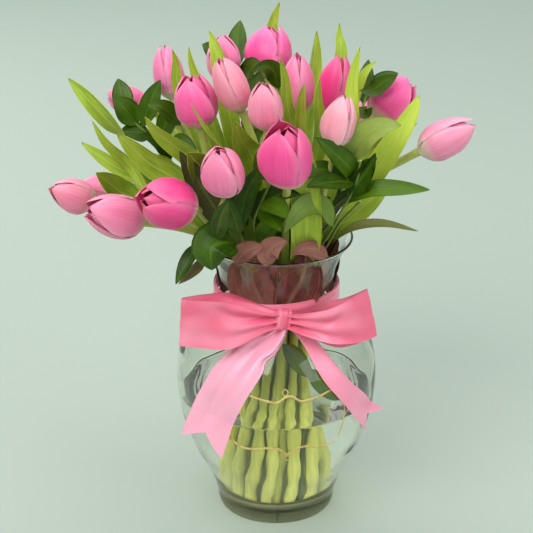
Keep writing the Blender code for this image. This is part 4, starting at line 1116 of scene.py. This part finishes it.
def ribbon(name, centre, out, talls, phases, flat, held, rests, nodes, nv=41, waves=3.0, upv=None, extra=None, thick=0.35):
    """centre: line in mm; out: outward direction at each; talls: seen height of the band at each"""
    n = len(centre)
    s = np.r_[0, np.cumsum(np.linalg.norm(np.diff(centre, axis=0), axis=1))]
    v = np.linspace(-0.5, 0.5, nv)
    grid = np.zeros((n, nv, 3))
    t = unit(np.gradient(centre, axis=0))
    for i in range(n):
        o = unit(out[i] - t[i] * np.dot(out[i], t[i]))
        up = unit(np.cross(o, t[i])) if upv is None else unit(upv[i])
        if upv is None and up[2] < 0:
            up = -up
        fold = pleat(v, talls[i], RIBBON_W, waves, phases[i])
        grid[i] = centre[i] + up * (v * talls[i])[:, None] + o * fold[:, None]
    if extra is not None:
        grid = extra(grid, s / s[-1], v)
    uu, vv = np.meshgrid(s, v * RIBBON_W, indexing="ij")
    b = Build()
    thick_sheet(b, grid, thick, np.stack([uu, vv, np.zeros_like(uu)], -1))
    ob = b.make(name, SATIN_M, "satin", *nodes)
    return ob


def loop(name, node_name, reach, end_y, end_z, lean, sign, seed):
    n = 96
    root = np.array([kx + sign * (KNOT_SIZE[0] / 2 - 1.5), ky, kz])
    pts, talls, leans, alongs = [], [], [], []
    for i in range(n):
        a = 2 * math.pi * i / (n - 1)
        along = ((1 - math.cos(a)) / 2) ** 0.8
        open_ = math.sin(a) * LOOP_OPEN * (0.35 + 0.65 * (1 - abs(2 * along - 1)))
        behind = i >= n / 2
        back = 1.7 if behind else -1.7
        x = root[0] + sign * (reach + 2.0) * along
        y = root[1] + (end_y - root[1]) * along ** 1.3 - LOOP_BOW * (0.5 if sign < 0 else 1.0) * math.sin(math.pi * along) - open_ + back * (1 - along)
        z = root[2] + (end_z - root[2]) * along - (7.5 if sign > 0 and behind else 1.0) * math.sin(math.pi * along)
        if sign > 0 and not behind:
            z += 2.2 * math.sin(math.pi * along)
        if sign < 0:
            z += 4.5 * math.sin(math.pi * along)
        pts.append((x, y, z))
        grow = min(1.0, along * (1.75 if sign < 0 or behind else 1.15))
        grow = grow * grow * (3 - 2 * grow) * 0.5 + grow * 0.5
        talls.append(13.5 + (RIBBON_W - 0.8 - 13.5) * grow)
        leans.append(lean * along)
        alongs.append(along)
    c = smooth_line(np.array(pts), 6)
    tang = unit(np.gradient(c, axis=0))
    out = np.stack([tang[:, 1] * sign, -tang[:, 0] * sign, np.zeros(n)], 1)
    out[n // 2 - 1:n // 2 + 1] = unit(out[n // 2 - 1:n // 2 + 1])
    up = np.stack([np.array(leans), np.zeros(n), np.ones(n)], 1)
    rng = np.random.default_rng(seed)
    ph = rng.uniform(0, 6.28, 8)
    talls = np.array(talls)
    nv = 45
    v = np.linspace(-0.5, 0.5, nv)
    grid = np.zeros((n, nv, 3))
    for i in range(n):
        k = alongs[i]
        gather = math.exp(-k * 3.4)
        fade = max(0.0, 1 - k * 1.15) ** 1.5
        slack = max(0.0, (RIBBON_W / talls[i]) ** 2 - 1.0)
        waves = 2.3
        amp = min(3.0, talls[i] / (2 * math.pi * waves) * math.sqrt(2 * slack)) * (0.25 + 0.75 * fade)
        fold = amp * np.sin(2 * math.pi * waves * (v + 0.5) + ph[0] + 1.5 * k)
        # creases that fan out from the knot and soften
        fold += 2.4 * np.sin(7.5 * v + ph[1] + 2.5 * k) * gather * min(1, k * 8)
        fold += 1.2 * np.sin(13 * v + ph[2] - 2.0 * k) * math.exp(-k * 2.2) * min(1, k * 6)
        # one or two dents in the full part
        dent = math.exp(-((k - 0.52) / 0.17) ** 2)
        fold += -2.1 * dent * np.exp(-((v - 0.20 * math.cos(ph[3]) - (k - 0.5) * 0.9) / 0.13) ** 2)
        fold += 1.5 * np.sin(3.2 * v + ph[4] + 5.0 * k) * math.sin(math.pi * min(1, k)) ** 2
        grid[i] = c[i] + up[i] * (v * talls[i])[:, None] + out[i] * fold[:, None]
    uu, vv = np.meshgrid(np.r_[0, np.cumsum(np.linalg.norm(np.diff(c, axis=0), axis=1))], v * RIBBON_W, indexing="ij")
    b = Build()
    thick_sheet(b, grid, 0.35, np.stack([uu, vv, np.full_like(uu, 3.0 * sign)], -1))
    ob = b.make(name, SATIN_M, "satin", node_name)
    return ob


loop("ribbon_bow_left", "ribbon_loop_left", *LOOP_LEFT, -1, 11)
loop("ribbon_bow_right", "ribbon_loop_right", *LOOP_RIGHT, 1, 12)


def drape_radius(z):
    return vase_radius(max(z, 124.0))


def tail(name, node_name, course, seed, flat_from, turn_to, skew):
    """ribbon end laid down the glass: wrapped near the knot, flat and standing a little off lower down"""
    rng = np.random.default_rng(seed)
    ph = rng.uniform(0, 6.28, 6)
    cc = catmull(np.array(course, float), 12)
    n, nv = 90, 41
    cc = np.stack([np.interp(np.linspace(0, 1, n), np.linspace(0, 1, len(cc)), cc[:, k]) for k in range(4)], 1)
    pts = []
    for az, z, w, lift in cc:
        r = drape_radius(z) + lift
        a = math.radians(az)
        pts.append((r * math.sin(a), -r * math.cos(a), z))
    c = smooth_line(np.array(pts), 3)
    knot = np.array([kx + (-1 if cc[-1, 0] < 0 else 1) * 2.0, ky + 1.0, kz - 6.5])
    for i in range(12):
        k = (1 - i / 12) ** 1.5
        c[i] = c[i] * (1 - k) + knot * k
    t = unit(np.gradient(c, axis=0))
    s = np.r_[0, np.cumsum(np.linalg.norm(np.diff(c, axis=0), axis=1))]
    v = np.linspace(-0.5, 0.5, nv)
    grid = np.zeros((n, nv, 3))
    for i in range(n):
        u = i / (n - 1)
        a = math.atan2(c[i][0], -c[i][1])
        flat = min(1.0, max(0.0, (u - flat_from) / (1 - flat_from)))
        flat = flat * flat * (3 - 2 * flat)
        a2 = a + (math.radians(turn_to) - a) * flat if turn_to is not None else a
        nrm = np.array([math.sin(a2), -math.cos(a2), 0.0])
        sd = unit(np.cross(t[i], nrm))
        w = min(cc[i, 2], RIBBON_W - 0.5)
        slack = max(0.0, (RIBBON_W / max(w, 11.0)) ** 2 - 1.0)
        waves = 1.5 if w > 18 else 2.0
        amp = min(3.2, w / (2 * math.pi * 1.75) * math.sqrt(2 * slack) * 0.9)
        fold = amp * np.sin(2 * math.pi * 1.75 * (v + 0.5) + ph[0] + 0.8 * u)
        fold += (1.6 * np.sin(6.5 * v + ph[1] + 3 * u) + 0.9 * np.sin(12 * v + ph[2] - 2 * u)) * math.exp(-2.6 * u)
        fold += 1.3 * np.sin(4.2 * v + ph[3] + 5.0 * u) * u * (1.1 - u) * 3
        for j in range(nv):
            q = c[i] + sd * v[j] * w
            if u > 0.70:
                q = q - t[i] * ((15.0 * (1 - 2 * abs(v[j])) + skew * v[j]) * ((u - 0.70) / 0.30))
            aq = math.atan2(q[0], -q[1])
            rq = math.hypot(q[0], q[1])
            wrapped = drape_radius(q[2]) + cc[i, 3] + 0.4
            rq = max(wrapped + (max(rq, wrapped) - wrapped) * flat, drape_radius(q[2]) + 1.0)
            rq += max(fold[j], 0.7 - cc[i, 3])
            grid[i, j] = (rq * math.sin(aq), -rq * math.cos(aq), q[2])
        if i < 12:
            k = (1 - i / 12) ** 1.5
            grid[i] = grid[i] * (1 - k) + (c[i] + np.outer(v * w, sd) + np.outer(fold, nrm)) * k
    uu, vv = np.meshgrid(s, v * RIBBON_W, indexing="ij")
    b = Build()
    # tone x 0.62 lightens this tail's satin: a painted sheen
    thick_sheet(b, grid, 0.35, np.stack([uu, vv, np.full_like(uu, 7.0 + seed)], -1), (0.62, 0, 0))
    ob = b.make(name, SATIN_M, "satin", node_name)
    return ob


tail("ribbon_end_left", "ribbon_tail_left", TAIL_LEFT, 21, 0.42, -27, 0.0)


def tail_between(name, node_name, low, high, low_end, high_end, notch, seed):
    """ribbon end laid on the glass between two edges, folded lengthwise where they are close"""
    rng = np.random.default_rng(seed)
    ph = rng.uniform(0, 6.28, 6)
    edges = []
    for run, first, last in ((low, (kx + 1.5, ky + 1.0, kz - 8.0), low_end), (high, (kx + 6.0, ky + 1.0, kz - 2.5), high_end)):
        pts = [first] + [on_glass(az, z, (drape_radius(z) - vase_radius(z)) + 2.6) for az, z in run] + [last]
        edges.append(smooth_line(resample(catmull(np.array(pts, float), 14), 96), 4))
    n, nv = 96, 73
    v = np.linspace(0, 1, nv)
    mid = (edges[0] + edges[1]) / 2
    t = unit(np.gradient(mid, axis=0))
    grid = np.zeros((n, nv, 3))
    for i in range(n):
        u = i / (n - 1)
        a, c = edges[0][i], edges[1][i]
        w = float(np.linalg.norm(c - a))
        x = min((RIBBON_W - w) / 2, w * 0.97)        # what is turned under, twice
        run = v * (w + 2 * x)
        across = np.where(run <= w, run / w, np.where(run <= w + x, 1 - (run - w) / w, 1 - x / w + (run - w - x) / w))
        layer = np.interp(run, [0, w - 0.8, w + 0.8, w + x - 0.8, w + x + 0.8, w + 2 * x], [1.6, 1.6, 0.8, 0.8, 0.0, 0.0])
        fold = (0.8 * np.sin(5.0 * across + ph[1] + 3 * u) + 0.4 * np.sin(10 * across + ph[2] - 2 * u)) * math.exp(-2.0 * u)
        fold += 1.5 * np.sin(4.0 * across + ph[3] + 4.0 * u) * u * (1.1 - u) * 2
        fold -= fold.min()
        for j in range(nv):
            q = a + (c - a) * across[j]
            if u > 0.62:
                q = q - t[i] * (notch * (1 - 2 * abs(across[j] - 0.5)) * ((u - 0.62) / 0.38))
            aq, rq = math.atan2(q[0], -q[1]), math.hypot(q[0], q[1])
            rq = max(rq - 1.6, drape_radius(q[2]) + 1.0) + layer[j] + fold[j]
            grid[i, j] = (rq * math.sin(aq), -rq * math.cos(aq), q[2])
    s = np.r_[0, np.cumsum(np.linalg.norm(np.diff(mid, axis=0), axis=1))]
    uu, vv = np.meshgrid(s, (v - 0.5) * RIBBON_W, indexing="ij")
    b = Build()
    # tone x 0.36 lightens this tail's satin: a painted sheen
    thick_sheet(b, grid, 0.35, np.stack([uu, vv, np.full_like(uu, 7.0 + seed)], -1), (0.36, 0, 0))
    ob = b.make(name, SATIN_M, "satin", node_name)
    return ob


tail_between("ribbon_end_right", "ribbon_tail_right",
             ((9.7, 204.1), (15.3, 198.0), (19.7, 189.5), (23.1, 176.7), (27.5, 161.6), (36.1, 142.1), (46.5, 120.0)),
             ((15.9, 209.7), (26.7, 200.1), (32.2, 187.1), (37.4, 172.5), (45.9, 153.4), (57.8, 134.0), (65.5, 121.0)),
             (79.8, -49.0, 96.9), (98.4, -30.0, 108.6), 13.5, 22)


def band():
    n = 180
    a = np.linspace(-math.pi + 0.0, math.pi, n)
    c, talls, ph = [], [], []
    for x in a:
        r = BAND_R + 0.8
        c.append((r * math.sin(x), -r * math.cos(x), (BAND_Z0 + BAND_Z1) / 2 + 0.6 * math.sin(2 * x)))
        talls.append(14.6)
        ph.append(0.8 * math.sin(3 * x))
    c = np.array(c)
    out = np.stack([np.sin(a), -np.cos(a), np.zeros(n)], 1)
    s = length_of(c)
    b = Build()
    nv = 73
    v = np.linspace(-0.5, 0.5, nv)
    run = (v + 0.5) * 3
    rise = np.where(run <= 1, run, np.where(run <= 2, 2 - run, run - 2))
    layer = np.interp(run, [0, 0.93, 1.07, 1.93, 2.07, 3], [0.0, 0.0, 0.85, 0.85, 1.7, 1.7])
    grid = np.zeros((n, nv, 3))
    for i in range(n):
        wave = 0.4 * (1 + np.sin(2 * math.pi * 1.6 * rise + ph[i] + 0.5 * np.sin(a[i] * 5)))
        grid[i] = c[i] + np.outer((rise - 0.5) * talls[i], (0, 0, 1)) + np.outer(wave + layer - 0.5, out[i])
    uu, vv = np.meshgrid(np.linspace(0, s, n), v * RIBBON_W, indexing="ij")
    thick_sheet(b, grid, 0.35, np.stack([uu, vv, np.zeros_like(uu)], -1))
    ob = b.make("ribbon_band", SATIN_M, "satin", "ribbon_neck_band")
    return ob


band()


def knot():
    """the ribbon's crossing: a short wrapped band with folds running round it"""
    n, nv = 64, 31
    a = np.linspace(0, 2 * math.pi, n, endpoint=False)
    v = np.linspace(-0.5, 0.5, nv)
    verts, faces, attr = [], [], []
    for i, x in enumerate(a):
        for j, q in enumerate(v):
            squeeze = 1 - 0.34 * abs(2 * q) ** 2.4
            fold = 0.55 * math.sin(q * 17 + 0.8 * math.sin(2 * x)) + 0.25 * math.sin(q * 33 + 1.1)
            rx = (KNOT_SIZE[1] / 2 + 1.0) * squeeze + fold
            rz = (KNOT_SIZE[2] / 2 + 1.4) * squeeze + fold
            ce, se = math.cos(x), math.sin(x)
            k = (abs(ce) ** 2.6 + abs(se) ** 2.6) ** (-1 / 2.6)
            verts.append((kx + q * (KNOT_SIZE[0] + 3.5) + 0.6 * math.sin(x), ky + rx * ce * k, kz + rz * se * k + 0.8 * q))
            attr.append((i / n * 40, q * RIBBON_W, 0))
    for i in range(n):
        for j in range(nv - 1):
            k = (i + 1) % n
            faces.append((i * nv + j, i * nv + j + 1, k * nv + j + 1, k * nv + j))
    for side_j, flip in ((0, False), (nv - 1, True)):
        m = len(verts)
        ring = [i * nv + side_j for i in range(n)]
        c = np.mean([verts[i] for i in ring], axis=0)
        verts.append(tuple(c))
        attr.append((0, 0, 0))
        for i in range(n):
            f = (ring[i], ring[(i + 1) % n], m)
            faces.append(f if not flip else f[::-1])
    b = Build()
    b.add(verts, faces, attr)
    return b.make("ribbon_knot_wrap", SATIN_M, "satin", "ribbon_knot")


knot()

# ------------------------------------------------------------------ stage, light and camera
def plain(name, rgb, rough):
    m, nt, p = material(name)
    geo = node(nt, "ShaderNodeTexCoord")
    n1 = noise(nt, geo.outputs["Object"], 3.0, 3.0)
    nt.links.new(ramp(nt, n1, [(0.3, tuple(x * 0.99 for x in rgb)), (0.7, rgb)]), p.inputs["Base Color"])
    p.inputs["Roughness"].default_value = rough
    return m


def floor():
    """one large plain floor"""
    n, rings = 48, (0.0, 0.4, 1.0, 2.5, 6.0, 14.0)
    verts, faces = [(0, 0, 0)], []
    for r in rings[1:]:
        verts += [(r * math.cos(a), r * math.sin(a), 0.0) for a in np.linspace(0, 2 * math.pi, n, endpoint=False)]
    for i in range(n):
        faces.append((0, 1 + i, 1 + (i + 1) % n))
        for k in range(len(rings) - 2):
            a, c = 1 + k * n, 1 + (k + 1) * n
            faces.append((a + i, c + i, c + (i + 1) % n, a + (i + 1) % n))
    me = bpy.data.meshes.new("studio_floor")
    me.from_pydata(verts, [], faces)
    ob = bpy.data.objects.new("studio_floor", me)
    bpy.context.scene.collection.objects.link(ob)
    me.materials.append(plain("studio_paint", (0.345, 0.408, 0.358), 0.9))


floor()


def area(name, loc, target, size, power, rgb=(1, 1, 1)):
    l = bpy.data.lights.new(name, "AREA")
    l.shape = "RECTANGLE"
    l.size, l.size_y = size
    l.energy = power
    l.color = rgb
    ob = bpy.data.objects.new(name, l)
    bpy.context.scene.collection.objects.link(ob)
    ob.location = loc
    ob.rotation_mode = "QUATERNION"
    ob.rotation_quaternion = (Vector(target) - Vector(loc)).to_track_quat("-Z", "Y")
    ob.visible_transmission = False
    return ob


area("key", (-1.1, -1.8, 2.3), (0, 0, 0.26), (2.0, 1.6), 66, (1.0, 0.98, 0.95))
area("fill", (2.0, -1.4, 1.3), (0, 0, 0.25), (1.8, 1.8), 26, (0.96, 0.98, 1.0))
area("top", (0.0, 1.1, 3.2), (0, 0.5, 0.0), (4.0, 3.4), 84)
area("rim", (-1.2, 1.3, 1.0), (0, 0, 0.25), (0.9, 1.4), 9)

world = bpy.data.worlds.new("studio")
bpy.context.scene.world = world
world.use_nodes = True
wt = world.node_tree
sky = node(wt, "ShaderNodeTexCoord")
split = node(wt, "ShaderNodeSeparateXYZ")
wt.links.new(sky.outputs["Generated"], split.inputs[0])
height = ramp(wt, split.outputs[2], [(0.0, (0.80, 0.95, 0.82)), (0.12, (0.80, 0.93, 0.82)), (0.45, (0.88, 0.93, 0.89)),
                                     (1.0, (0.95, 0.98, 0.96))])
wt.links.new(height, wt.nodes["Background"].inputs[0])
wt.nodes["Background"].inputs[1].default_value = 0.52

cam_data = bpy.data.cameras.new("camera")
cam_data.sensor_width = 36.0
cam_data.lens = 1735.0 / 533.0 * 36.0
cam = bpy.data.objects.new("camera", cam_data)
bpy.context.scene.collection.objects.link(cam)
cam.location = (-0.009, -1.435, 0.855)
cam.rotation_euler = (math.radians(90 - 23.3), 0, 0)
bpy.context.scene.camera = cam
bpy.context.scene.view_settings.view_transform = "Standard"
